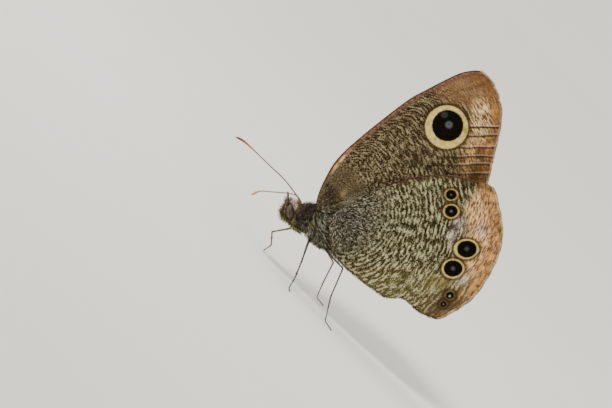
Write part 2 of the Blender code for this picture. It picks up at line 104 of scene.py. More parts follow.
FOREWING_VEINS = {
    "subcosta": [(-4.3, 9.0), (-5.3, 12.5), (-5.6, 17.0), (-5.0, 20.8), (-4.6, 22.6)],
    "radius": [(-4.1, 9.0), (-4.6, 13.0), (-4.4, 16.9), (-3.7, 20.3)],
    "radius_1": [(-4.4, 16.9), (-4.3, 20.8), (-3.9, 24.8)],
    "radius_2": [(-3.7, 20.3), (-3.4, 24.0), (-3.0, 27.2)],
    "radius_3": [(-3.7, 20.3), (-2.9, 24.5), (-2.1, 28.0), (-1.9, 29.7)],
    "radius_4": [(-2.1, 28.0), (-1.1, 29.5), (-0.6, 30.4)],
    "radius_5": [(-2.6, 26.0), (-0.9, 28.2), (0.95, 29.8)],
    "media_1": [(-3.7, 20.3), (-1.2, 24.9), (2.7, 28.9)],
    "media_2": [(-2.2, 20.2), (0.8, 23.8), (4.1, 27.0)],
    "media_3": [(-0.3, 20.4), (2.4, 22.6), (5.2, 25.1)],
    "cubitus": [(-3.9, 9.2), (-2.4, 13.0), (-1.1, 16.6), (-0.3, 20.4)],
    "cubitus_1": [(-0.5, 19.2), (3.0, 21.3), (6.3, 23.3)],
    "cubitus_2": [(-1.5, 15.4), (2.4, 18.4), (7.1, 21.6)],
    "cell_end": [(-3.7, 20.3), (-2.2, 20.0), (-0.3, 20.4)],
    "anal": [(-3.6, 9.1), (-0.6, 12.5), (3.4, 16.6), (6.9, 20.0)],
}
HINDWING_VEINS = {
    "subcosta": [(-2.2, 8.8), (-0.9, 12.4), (0.9, 16.3), (4.2, 19.9), (6.5, 21.6)],
    "radius": [(-1.9, 8.7), (0.2, 12.0), (2.2, 14.8), (4.2, 17.8), (7.6, 22.2)],
    "media_1": [(3.4, 16.6), (5.9, 18.7), (9.2, 21.9)],
    "media_2": [(4.6, 15.0), (7.9, 17.4), (11.3, 20.2)],
    "media_3": [(6.3, 13.6), (9.4, 16.3), (12.9, 17.8)],
    "cubitus": [(-1.6, 8.4), (1.5, 9.7), (4.4, 11.3), (6.3, 13.6)],
    "cubitus_1": [(6.3, 13.6), (10.2, 14.7), (14.0, 14.5)],
    "cubitus_2": [(4.4, 11.3), (9.4, 12.0), (14.1, 12.0)],
    "cell_end": [(3.4, 16.6), (4.6, 15.0), (6.3, 13.6)],
    "anal_2": [(-1.4, 8.0), (4.4, 9.2), (9.2, 9.6), (13.1, 9.1)],
    "anal_3": [(-1.1, 7.7), (3.4, 7.3), (6.6, 7.3), (8.3, 7.4)],
}

# How far the wings' middle surfaces stand from the body's middle plane. The forewing falls from
# its root to its closed part. The hindwing lies over the forewing in front of a line, and behind
# it bends round thorax and abdomen, whose axis runs between two points.
FORE_CLOSED = 0.4
FORE_ROOT = 1.3
ROOT_LEVEL = 8.5
ROOT_RISE = 4.5
HIND_OVER_FORE = 0.74
OVER_END = 0.3
OVER_FADE = 4.0
HIND_CLOSED = 0.6
HIND_ROUND_ABDOMEN = 1.65
HIND_ROUND_THORAX = 2.15
THORAX_FADE = 2.5
HUG_END = 1.0
HUG_FADE = 4.5
FORE_HIND_MARGIN = ((-3.4, 8.2), (8.2, 20.5))
ABDOMEN_START = (1.4, 6.85)
ABDOMEN_END = (9.4, 8.1)

# How the closed right wings rest against the left ones
FAR_WINGS_SHIFT = (0.2, 0.0, -0.21)

# Sides of a round limb
ROD_SIDES = 14

# The wing's membrane: its grid, its curves' points in a span, and its relief
WING_CELL = 0.1
WING_THICK = 0.12
PER_SPAN = 12
PER_VEIN_SPAN = 8
FRINGE_SHOWN = 0.12
TERMEN_FADE = 14.0
SCALLOP_LENGTH = 1.75
SCALLOP_DEPTH = 0.07
VEIN_HALF = 0.17
VEIN_RISE = 0.09
PLEAT_DEPTH = 0.16
PLEAT_REACH = 1.3

# The square that holds a wing's chart
CHART_START = (-8.0, 0.0)
CHART_SIZE = 34.0

# Eyespots of the underside: centre, half widths of the ring across and up the picture, half
# widths of the pupil, the pupil's shift in the ring, and how bright the ring is
FORE_SPOTS = [((-0.23, 24.04), (2.31, 2.36), (1.68, 1.70), (-0.02, 0.2), 1.0)]
HIND_SPOTS = [
    ((5.13, 19.16), (0.76, 0.66), (0.57, 0.52), (0.0, 0.0), 0.5),
    ((6.38, 17.85), (0.90, 0.81), (0.68, 0.65), (0.0, 0.0), 0.7),
    ((10.46, 15.95), (1.36, 1.1), (1.05, 0.94), (0.05, 0.03), 0.9),
    ((10.91, 13.41), (1.22, 1.07), (1.01, 0.89), (0.0, 0.0), 0.9),
    ((12.67, 11.07), (0.56, 0.54), (0.42, 0.40), (0.0, 0.0), 0.16),
    ((12.81, 9.91), (0.45, 0.43), (0.33, 0.31), (0.0, 0.0), 0.1),
]
# Small pale dots in the pupils: centre, half width, and brightness
FORE_DOTS = [((-0.22, 24.40), 0.46, 0.36), ((-1.30, 24.85), 0.42, 0.12)]
HIND_DOTS = [
    ((5.13, 19.16), 0.15, 0.2), ((6.38, 17.85), 0.2, 0.35), ((10.49, 15.98), 0.3, 0.17),
    ((10.91, 13.41), 0.28, 0.2), ((12.72, 11.0), 0.17, 0.95), ((12.81, 9.91), 0.13, 0.4),
]
# Fold lines near the forewing's outer corner, painted as shade with a painted highlight just above:
# heights across the picture, and where they start
FORE_FOLD_SHADING = [
    (8.26, 16.4, 1.0), (7.32, 16.9, 0.8), (6.03, 14.5, 0.8), (5.06, 14.0, 0.8), (4.2, 13.0, 0.75),
    (3.23, 15.0, 0.6),
]

# Pale lilac patches of the hindwing's outer part: centre and half width
LILAC_PATCHES = [((7.9, 17.4), 0.9), ((8.4, 15.9), 0.8), ((10.2, 18.6), 0.8), ((12.4, 13.3), 0.8)]

# Centres that the fine cross lines of the underside curve round, and how far out their length is
# measured
FORE_STRIA_CENTRE = (-3.65, 10.8)
HIND_STRIA_CENTRE = (-2.45, 9.9)
STRIA_RADIUS = 13.0

# Feelers, mouth parts and legs: centre lines from inside the body out, along the solids' own
ANTENNA_LEFT = [
    (-5.85, -0.3, 6.6), (-5.97, -0.42, 7.3), (-8.7, -1.3, 7.95), (-11.4, -2.1, 8.1),
    (-13.9, -2.7, 8.2), (-15.2, -3.0, 8.2), (-16.2, -3.2, 7.95),
]
ANTENNA_RIGHT = [
    (-5.85, 0.3, 6.6), (-6.0, 0.42, 7.25), (-6.9, 1.2, 7.2), (-8.4, 4.0, 5.5), (-9.3, 6.0, 4.3),
    (-9.5, 7.6, 3.2),
]
PALP = [
    (-6.3, 0.3, 5.0), (-6.6, 0.36, 5.5), (-6.77, 0.4, 6.1), (-7.17, 0.44, 6.62), (-7.69, 0.48, 7.12),
]
FORELEG = [
    (-3.5, 0.6, 5.8), (-4.1, 0.85, 5.35), (-4.7, 0.92, 5.15), (-4.97, 0.95, 4.95), (-4.7, 0.98, 4.78),
    (-4.15, 0.98, 4.8), (-3.65, 0.95, 4.95),
]
# Each walking leg's joints: inside the body, hip, knee, ankle, heel and tip of the foot
LEGS = {
    "midleg_l": [
        (-2.6, -0.5, 5.8), (-2.55, -1.1, 5.1), (-1.75, -3.5, 3.1), (-1.15, -4.3, 1.5),
        (-0.85, -4.65, 0.2), (-0.6, -5.3, 0.07),
    ],
    "midleg_r": [
        (-3.3, 0.5, 6.1), (-3.65, 1.0, 5.6), (-5.52, 3.6, 2.33), (-4.5, 4.2, 1.1),
        (-4.65, 4.6, 0.2), (-4.6, 5.35, 0.07),
    ],
    "hindleg_l": [
        (-0.8, -0.5, 5.9), (-0.35, -1.1, 5.45), (1.93, -4.0, 5.66), (3.05, -4.5, 2.6),
        (4.4, -4.92, 0.3), (5.6, -5.2, 0.07),
    ],
    "hindleg_r": [
        (-0.6, 0.5, 5.9), (-0.3, 1.1, 5.3), (1.6, 3.6, 4.45), (2.35, 4.2, 2.1),
        (3.05, 4.65, 0.3), (4.3, 5.3, 0.07),
    ],
}
# Radii of a leg by its joints, whose numbers are those of the list above
LEG_RADII = [
    (0.0, 0.12), (1.0, 0.14), (1.12, 0.12), (1.5, 0.11), (1.9, 0.085), (2.0, 0.1), (2.1, 0.08),
    (2.9, 0.072), (2.98, 0.095), (3.04, 0.062), (3.45, 0.072), (3.5, 0.05), (3.9, 0.062),
    (3.95, 0.048), (4.3, 0.06), (4.34, 0.048), (4.6, 0.058), (4.64, 0.047), (4.95, 0.055), (5.0, 0.04),
]
# How far from a leg's joint its bend starts, and the least gaps of feet and scales to the floor
LEG_BEND = 0.14
FOOT_GAP = 0.004
SCALE_GAP = 0.02
# Radii of the other limbs by their share of the length
FORELEG_PROFILE = [(0.0, 0.11), (0.3, 0.12), (0.5, 0.09), (0.9, 0.07), (1.0, 0.04)]
ANTENNA_PROFILE = [
    (0.0, 0.12), (0.08, 0.13), (0.10, 0.075), (0.70, 0.06), (0.80, 0.08), (0.90, 0.13), (0.97, 0.12),
    (1.0, 0.03),
]
PALP_PROFILE = [(0.0, 0.15), (0.3, 0.17), (0.6, 0.12), (0.72, 0.1), (0.94, 0.085), (1.0, 0.03)]


def tone(red, green, blue):
    """The light values that shaders use for a colour."""
    shares = [value / 255 for value in (red, green, blue)]
    return (*(s / 12.92 if s <= 0.04045 else ((s + 0.055) / 1.055) ** 2.4 for s in shares), 1.0)


# Shapes

def ease(t):
    t = np.clip(t, 0.0, 1.0)
    return t * t * (3 - 2 * t)


def settle(start, end, t):
    """Goes smoothly from start to end while t goes from 0 to 1."""
    return end + (start - end) * (1 - ease(t))


def fore_offset(x, z):
    """Distance of the forewing's middle surface from the body's middle plane."""
    return settle(FORE_ROOT, FORE_CLOSED, (z - ROOT_LEVEL) / ROOT_RISE)


def hind_offset(x, z):
    """The same for the hindwing: over the forewing, round the abdomen, closed behind."""
    (ax, az), (bx, bz) = FORE_HIND_MARGIN
    length = math.hypot(bx - ax, bz - az)
    behind = ((x - ax) * (bz - az) - (z - az) * (bx - ax)) / length
    over = 1 - ease((behind - OVER_END) / OVER_FADE)
    run = np.subtract(ABDOMEN_END, ABDOMEN_START)
    share = ((x - ABDOMEN_START[0]) * run[0] + (z - ABDOMEN_START[1]) * run[1]) / run.dot(run)
    share = np.clip(share, -0.4, 1.0)
    away = np.hypot(x - ABDOMEN_START[0] - share * run[0], z - ABDOMEN_START[1] - share * run[1])
    body = settle(HIND_ROUND_THORAX, HIND_ROUND_ABDOMEN, x / THORAX_FADE)
    hugging = settle(body, HIND_CLOSED, (away - HUG_END) / HUG_FADE)
    return over * (fore_offset(x, z) + HIND_OVER_FORE) + (1 - over) * hugging


def curve_through(points, per_span, closed=False):
    """Points on a Catmull-Rom curve through the given ones."""
    knots = np.array(points, float)
    count = len(knots)
    spans = count if closed else count - 1
    numbers = np.arange(-1, spans + 2)
    numbers = numbers % count if closed else np.clip(numbers, 0, count - 1)
    before, start, end, after = (knots[numbers[k:k + spans], None] for k in range(4))
    t = (np.arange(per_span) / per_span)[:, None]
    line = 0.5 * (
        2 * start + (end - before) * t + (2 * before - 5 * start + 4 * end - after) * t * t
        + (3 * start - before - 3 * end + after) * t ** 3
    )
    line = line.reshape(-1, knots.shape[1])
    return line if closed else np.concatenate([line, knots[-1:]])


def evenly(line, count):
    """The same line as evenly spaced points. Columns after the third are carried along."""
    steps = np.linalg.norm(np.diff(line[:, :3], axis=0), axis=1)
    travelled = np.concatenate([[0.0], np.cumsum(steps)])
    wanted = np.linspace(0.0, travelled[-1], count)
    return np.stack([np.interp(wanted, travelled, column) for column in line.T], axis=1)


def nearest(points, line, at_once=4000):
    """Distance from each point to a line, and the point of the line that is nearest to it."""
    away = np.empty(len(points))
    foot = np.empty_like(points)
    start, run = line[:-1], np.diff(line, axis=0)
    size = (run ** 2).sum(1)
    for first in range(0, len(points), at_once):
        some = points[first:first + at_once, None]
        share = np.clip(((some - start) * run).sum(2) / size, 0, 1)
        spots = start + share[..., None] * run
        gaps = np.linalg.norm(some - spots, axis=2)
        best = gaps.argmin(1)
        rows = np.arange(len(best))
        away[first:first + at_once] = gaps[rows, best]
        foot[first:first + at_once] = spots[rows, best]
    return away, foot


def inside(points, outline):
    """Which points lie inside a closed outline."""
    ends = np.roll(outline, -1, axis=0)
    hits = np.zeros(len(points), bool)
    for a, b in zip(outline, ends):
        if a[1] == b[1]:
            continue
        level = (a[1] > points[:, 1]) != (b[1] > points[:, 1])
        crossing = a[0] + (points[:, 1] - a[1]) * (b[0] - a[0]) / (b[1] - a[1])
        hits ^= level & (points[:, 0] < crossing)
    return hits


def world(points):
    """Own-frame millimetres as metres in the shared frame."""
    return np.asarray(points, float) * MM + np.array(SHIFT)


def points_of(mesh):
    """The places of a mesh's points in own-frame millimetres."""
    found = np.empty(len(mesh.vertices) * 3)
    mesh.vertices.foreach_get("co", found)
    return (found.reshape(-1, 3) - np.array(SHIFT)) / MM


def lay_points(mesh, points):
    mesh.vertices.foreach_set("co", world(points).astype(np.float32).ravel())
    mesh.update()


def attribute(mesh, name, values):
    made = mesh.attributes.new(name, "FLOAT", "POINT")
    made.data.foreach_set("value", np.asarray(values, np.float32))


def clear_choice():
    for item in bpy.context.selected_objects:
        item.select_set(False)


def in_edit(*steps):
    """Runs edit-mode steps on the active object, each an operator and its settings."""
    bpy.ops.object.mode_set(mode="EDIT")
    for operator, settings in steps:
        operator(**settings)
    bpy.ops.object.mode_set(mode="OBJECT")


SELECT_ALL = (bpy.ops.mesh.select_all, {"action": "SELECT"})


def apply_modifier(piece, kind, **settings):
    made = piece.modifiers.new("step", kind)
    for name, value in settings.items():
        setattr(made, name, value)
    clear_choice()
    piece.select_set(True)
    bpy.context.view_layer.objects.active = piece
    bpy.ops.object.modifier_apply(modifier=made.name)


def new_grid(across, along):
    """A flat grid primitive, and its points' shares of its width and length."""
    clear_choice()
    bpy.ops.mesh.primitive_grid_add(x_subdivisions=across, y_subdivisions=along, size=1)
    piece = bpy.context.object
    shares = np.empty(len(piece.data.vertices) * 3)
    piece.data.vertices.foreach_get("co", shares)
    return piece, shares.reshape(-1, 3)[:, :2] + 0.5


def sides_of(line):
    """Two directions square to a line at each of its points, turning as little as can be."""
    ahead = np.gradient(line, axis=0)
    ahead /= np.linalg.norm(ahead, axis=1)[:, None]
    across = np.cross(ahead[0], (0.0, 0.0, 1.0))
    found = []
    for way in ahead:
        across = across - way * across.dot(way)
        across /= np.linalg.norm(across)
        found.append(across)
    found = np.array(found)
    return found, np.cross(found, ahead)


def rod(line, radii):
    """A round limb along a line, closed at both ends."""
    across, upward = sides_of(line)
    last = len(line) - 1
    radii = np.array(radii, float)
    radii[0] = radii[-1] = 0.0
    piece, shares = new_grid(ROD_SIDES, last)
    at = np.clip(np.rint(shares[:, 1] * last).astype(int), 0, last)
    turn = 2 * math.pi * shares[:, 0]
    swing = across[at] * np.cos(turn)[:, None] + upward[at] * np.sin(turn)[:, None]
    lay_points(piece.data, line[at] + swing * radii[at][:, None])
    in_edit(
        SELECT_ALL,
        (bpy.ops.mesh.remove_doubles, {"threshold": 0.002 * MM}),
        (bpy.ops.mesh.normals_make_consistent, {"inside": False}),
    )
    bpy.ops.object.shade_smooth()
    return piece


def profile(table, count):
    shares, radii = np.array(table).T
    return np.interp(np.linspace(0, 1, count), shares, radii)


def jointed(joints, count):
    """A leg's line, straight between its joints and a little rounded at them, with its radii."""
    knots = np.array(joints, float)
    rows = [(*knots[0], 0.0)]
    for i in range(1, len(knots) - 1):
        into, out = knots[i] - knots[i - 1], knots[i + 1] - knots[i]
        near, far = LEG_BEND / np.linalg.norm(into), LEG_BEND / np.linalg.norm(out)
        start, end = knots[i] - into * near, knots[i] + out * far
        for t in (0.0, 0.25, 0.5, 0.75, 1.0):
            bend = (1 - t) ** 2 * start + 2 * t * (1 - t) * knots[i] + t * t * end
            rows.append((*bend, i + (t - 0.5) * 2 * (near if t < 0.5 else far)))
    rows.append((*knots[-1], len(knots) - 1.0))
    laid = evenly(np.array(rows), count)
    return laid[:, :3], np.interp(laid[:, 3], *np.array(LEG_RADII).T)


def make_piece(piece, name, material, slot_name, *nodes):
    """Names a finished piece, gives it its finish, ties it to the root body and hides the parts it stands
    for.
    """
    piece.name = name
    piece.data.name = name
    if material is not None:
        piece.data.materials.clear()
        piece.data.materials.append(material)
    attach(piece, "root")
    if nodes:
        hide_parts(*nodes)
    return piece


# Tufts: rings of three points along them, as shares of their length and width, then a tip

TUFT_RINGS = ((0.0, 1.0), (0.4, 0.85), (0.75, 0.5))
BAKE_PATCH = 0.003


def make_tufts(
    name, material, slot_name, roots, lie, normal, length, width, chart, draw,
    droop=0.25, flat=0.35, sunk=0.04,
):
    """Closed tapered tufts on a surface: each lies its own way and bends back towards the skin."""
    count = len(roots)
    across = unit(np.cross(lie, normal))
    length = np.broadcast_to(length, count)[:, None]
    ring = ((-0.5, 0.0), (0.5, 0.0), (0.0, flat))
    rows = [(share, wide, side, lift) for share, wide in TUFT_RINGS for side, lift in ring]
    rows.append((1.0, 0.0, 0.0, 0.0))
    laid = np.stack([
        roots - normal * sunk + lie * length * share - normal * length * droop * share ** 2
        + across * width * wide * side + normal * width * wide * lift
        for share, wide, side, lift in rows
    ], axis=1).reshape(-1, 3)
    quads = [
        (k + a, k + a + 3, k + b + 3, k + b) for k in (0, 3) for a, b in ((0, 1), (1, 2), (2, 0))
    ]
    tips = [(6, 9, 7), (7, 9, 8), (8, 9, 6), (0, 1, 2)]
    firsts = np.arange(count)[:, None, None] * len(rows)
    faces = (firsts + np.array(quads)).reshape(-1, 4).tolist()
    faces += (firsts + np.array(tips)).reshape(-1, 3).tolist()
    mesh = bpy.data.meshes.new(name)
    mesh.from_pydata(world(laid), [], faces)
    shares, _, sideways, _ = np.array(rows).T
    attribute(mesh, "along", np.tile(shares, count))
    attribute(mesh, "tint", np.repeat(draw.random(count), len(rows)))
    around = np.tile(np.stack([sideways, shares - 0.5], axis=1), (count, 1))
    places = np.repeat(chart, len(rows), axis=0) + BAKE_PATCH * around
    corners = np.empty(len(mesh.loops), int)
    mesh.loops.foreach_get("vertex_index", corners)
    unwrap = mesh.uv_layers.new(name="OFBake")
    unwrap.data.foreach_set("uv", places[corners].astype(np.float32).ravel())
    piece = bpy.data.objects.new(name, mesh)
    bpy.context.scene.collection.objects.link(piece)
    return make_piece(piece, name, material, slot_name)


def unit(vectors):
    return vectors / (np.linalg.norm(vectors, axis=1)[:, None] + 1e-9)


def scatter(mesh, count, weight, draw):
    """Seeded random places on a mesh, with their normals, denser where the weight is larger."""
    mesh.calc_loop_triangles()
    corners = np.empty(len(mesh.loop_triangles) * 3, int)
    mesh.loop_triangles.foreach_get("vertices", corners)
    places = points_of(mesh)[corners].reshape(-1, 3, 3)
    normals = np.cross(places[:, 1] - places[:, 0], places[:, 2] - places[:, 0])
    share = np.linalg.norm(normals, axis=1)
    share = share * weight(places.mean(1))
    chosen = draw.choice(len(share), count, p=share / share.sum())
    a, b = draw.random((2, count, 1))
    folded = a + b > 1
    a, b = np.where(folded, 1 - a, a), np.where(folded, 1 - b, b)
    tri = places[chosen]
    roots = tri[:, 0] + a * (tri[:, 1] - tri[:, 0]) + b * (tri[:, 2] - tri[:, 0])
    return roots, unit(normals[chosen])


# Materials

def arithmetic(operation, swapped=False):
    """A method for one sum of a value and another value or number."""
    def run(self, other):
        first, second = (other, self) if swapped else (self, other)
        return self.finish.maths(operation, first, second)

    return run


class Value:
    """One socket of a finish: plain arithmetic on it adds the nodes."""

    def __init__(self, finish, socket):
        self.finish = finish
        self.socket = socket

    __add__, __radd__ = arithmetic("ADD"), arithmetic("ADD", True)
    __sub__, __rsub__ = arithmetic("SUBTRACT"), arithmetic("SUBTRACT", True)
    __mul__, __rmul__ = arithmetic("MULTIPLY"), arithmetic("MULTIPLY", True)

    def rise(self, low, high):
        """A smooth step from 0 at low to 1 at high, or down where low is the larger."""
        return self.finish.node(
            "ShaderNodeMapRange",
            {"interpolation_type": "SMOOTHSTEP"},
            {"Value": self, "From Min": low, "From Max": high},
        )


class Finish:
    """A material that is being made from nodes, with the colour that it has so far."""

    def __init__(self, name, roughness, specular):
        self.made = bpy.data.materials.new(name)
        self.made.use_nodes = True
        self.nodes = self.made.node_tree.nodes
        self.links = self.made.node_tree.links
        self.shader = self.nodes["Principled BSDF"]
        self.shader.inputs["Roughness"].default_value = roughness
        self.shader.inputs["Specular IOR Level"].default_value = specular
        place = self.split(self.node("ShaderNodeTexCoord", out="Object"))
        self.x, self.y, self.z = [(axis - SHIFT[i]) * (1 / MM) for i, axis in enumerate(place)]
        self.flat = self.point(self.x, self.z)
        self.colour = None

    def feed(self, socket, value):
        if isinstance(value, Value):
            self.links.new(value.socket, socket)
        else:
            socket.default_value = value

    def node(self, kind, settings=None, sockets=None, out=0):
        """Adds a node, with its settings first and then the values or links of its sockets."""
        made = self.nodes.new(kind)
        for name, value in (settings or {}).items():
            setattr(made, name, value)
        for name, value in (sockets or {}).items():
            found = [s for s in made.inputs if name in (s.identifier, s.name)]
            self.feed(found[0], value)
        outputs = [s for i, s in enumerate(made.outputs) if out in (i, s.identifier, s.name)]
        return Value(self, outputs[0])

    def split(self, vector):
        """The three parts of a vector."""
        parts = self.nodes.new("ShaderNodeSeparateXYZ")
        self.feed(parts.inputs[0], vector)
        return [Value(self, socket) for socket in parts.outputs]

    def maths(self, operation, a, b=0.0):
        return self.node("ShaderNodeMath", {"operation": operation}, {"Value": a, "Value_001": b})

    def mix(self, share, first, second):
        """A blend of two colours, each a tone or a value."""
        first, second = (tone(*c) if isinstance(c, tuple) else c for c in (first, second))
        colours = {"Factor_Float": share, "A_Color": first, "B_Color": second}
        return self.node("ShaderNodeMix", {"data_type": "RGBA"}, colours, "Result_Color")

    def paint(self, share, shade):
        """Lays a tone or a value over the colour so far."""
        self.colour = self.mix(share, self.colour, shade)

    def point(self, x, y, z=0.0):
        return self.node("ShaderNodeCombineXYZ", None, {"X": x, "Y": y, "Z": z})

    def noise(self, point, scale=1.0, detail=2.0, rough=0.5, warp=0.0):
        looks = {"Scale": scale, "Detail": detail, "Roughness": rough, "Distortion": warp}
        return self.node("ShaderNodeTexNoise", None, {"Vector": point, **looks})

    def attribute(self, name):
        return self.node("ShaderNodeAttribute", {"attribute_name": name}, None, "Fac")

    def distance(self, centre, halves, turn=0.0):
        """Distance from a centre seen from the side, in half widths of a turned ellipse."""
        ellipse = {
            "Vector": self.flat,
            "Location": (*centre, 0.0),
            "Rotation": (0.0, 0.0, math.radians(turn)),
            "Scale": (*halves, 1.0),
        }
        laid = self.node("ShaderNodeMapping", {"vector_type": "TEXTURE"}, ellipse)
        return self.node("ShaderNodeVectorMath", {"operation": "LENGTH"}, {"Vector": laid}, "Value")

    def patch(self, centre, halves, turn, none, full):
        """1 in the middle of such an ellipse, fading to 0 between two distances."""
        return self.distance(centre, halves, turn).rise(none, full)

    def done(self, bump=None, strength=0.3, depth=0.05):
        self.feed(self.shader.inputs["Base Color"], self.colour)
        if bump is not None:
            relief = {"Strength": strength, "Distance": depth * MM, "Height": bump}
            self.feed(self.shader.inputs["Normal"], self.node("ShaderNodeBump", None, relief))
        return self.made


def turned(right, up, degrees):
    """Two places across and up, as seen in a frame that is turned by an angle."""
    cos, sin = math.cos(math.radians(degrees)), math.sin(math.radians(degrees))
    return right * cos + up * sin, up * cos - right * sin


def marking_inputs(f):
    """What a wing's markings are drawn from: its attributes, places in the picture, two noises."""
    edge, costa, vein = (f.attribute(name) for name in ("edge", "costa", "vein"))
    right, up = turned(f.x - VIEW_TARGET[0], f.z - VIEW_TARGET[2], VIEW_ROLL)
    return edge, costa, vein, right, up, f.noise(f.flat, 0.4, 1.0) - 0.5, f.noise(f.flat, 9.0, 1.0) - 0.5


def wing_waves(f, centre, straight_share=0.0, way=0.0):
    """Places across and along the fine cross lines of a wing, and the distance from its root."""
    dx, dz = f.x - centre[0], f.z - centre[1]
    radius = f.maths("SQRT", dx * dx + dz * dz)
    straight = turned(dx, dz, way)[0]
    along = f.maths("ARCTAN2", dz, dx) * STRIA_RADIUS
    return radius * (1 - straight_share) + straight * straight_share, along, radius


def cross_lines(f, across, along, spacing, seed):
    """Wavy broken pale lines, 1 on a line and 0 between the lines."""
    sway = f.noise(f.flat, 0.5, 1.0) - 0.5
    ripple = f.noise(f.flat, 1.9) - 0.5
    laid = across + sway * 0.6 + ripple * 0.4
    crest = f.maths("SINE", laid * (2 * math.pi / spacing))
    strokes = f.noise(f.point(laid * (1.3 / spacing), along * 0.85, seed), 1.0, 3.0, 0.6) - 0.5
    grain = f.noise(f.flat, 8.0) - 0.5
    return (crest * 0.22 + strokes * 3.5 + grain * 2.4).rise(-0.15, 0.6)


def fine_scales(f, across, along, seed, lean=0.0):
    """Short fine strokes, 1 on a pale one and 0 between them."""
    place = f.point((across - along * lean) * 6.2, along * 1.7, seed)
    return f.noise(place, 1.0, 3.0, 0.65, 0.2).rise(0.44, 0.55)


def strew_scales(f, strength):
    """Strews single pale and dark scales over a wing's colour."""
    grain = f.noise(f.flat, 7.0, 2.0, 0.6)
    f.paint(grain.rise(0.52, 0.7) * (strength * 0.7), (222, 208, 180))
    f.paint(grain.rise(0.5, 0.34) * (strength * 1.3), (18, 12, 3))


def draw_spots(f, spots, dots, grain):
    """Paints ringed eyespots over a wing's colour, with the dots in their pupils."""
    yellow = f.mix(f.noise(f.flat, 2.2).rise(0.35, 0.65), (186, 164, 92), (214, 192, 124))
    black = f.mix(f.noise(f.flat, 6.0).rise(0.5, 0.75) * 0.35, (9, 7, 3), (44, 34, 22))
    for centre, ring, pupil, shift, bright in spots:
        away = f.distance(centre, ring, VIEW_ROLL) + grain * (0.22 / ring[0])
        f.paint(away.rise(1.0 + 0.46 / ring[0], 1.0 + 0.12 / ring[0]) * 0.85, (56, 38, 14))
        f.paint(away.rise(1.0 + 0.07 / ring[0], 1.0 - 0.09 / ring[0]) * bright, yellow)
        middle = (centre[0] + shift[0], centre[1] + shift[1])
        near = f.distance(middle, pupil, VIEW_ROLL) + grain * (0.22 / pupil[0])
        f.paint(near.rise(1.0 + 0.10 / pupil[0], 1.0 - 0.06 / pupil[0]), black)
    for centre, half, bright in dots:
        near = f.distance(centre, (half, half)) + grain * 1.2
        core = near.rise(0.1, 0.5) * 0.5 + 0.5 if half > 0.35 else 1.0
        f.paint(near.rise(1.1, 0.5) * core * bright, (128, 136, 138))


def scaly(f, across, along, lines):
    """The finished underside of a wing, with its scales as fine relief."""
    place = f.point(across * 10.0, along * 14.0)
    scales = f.node("ShaderNodeTexVoronoi", None, {"Vector": place}, "Distance")
    return f.done(scales * 0.5 + lines * 0.4, 0.4, 0.06)


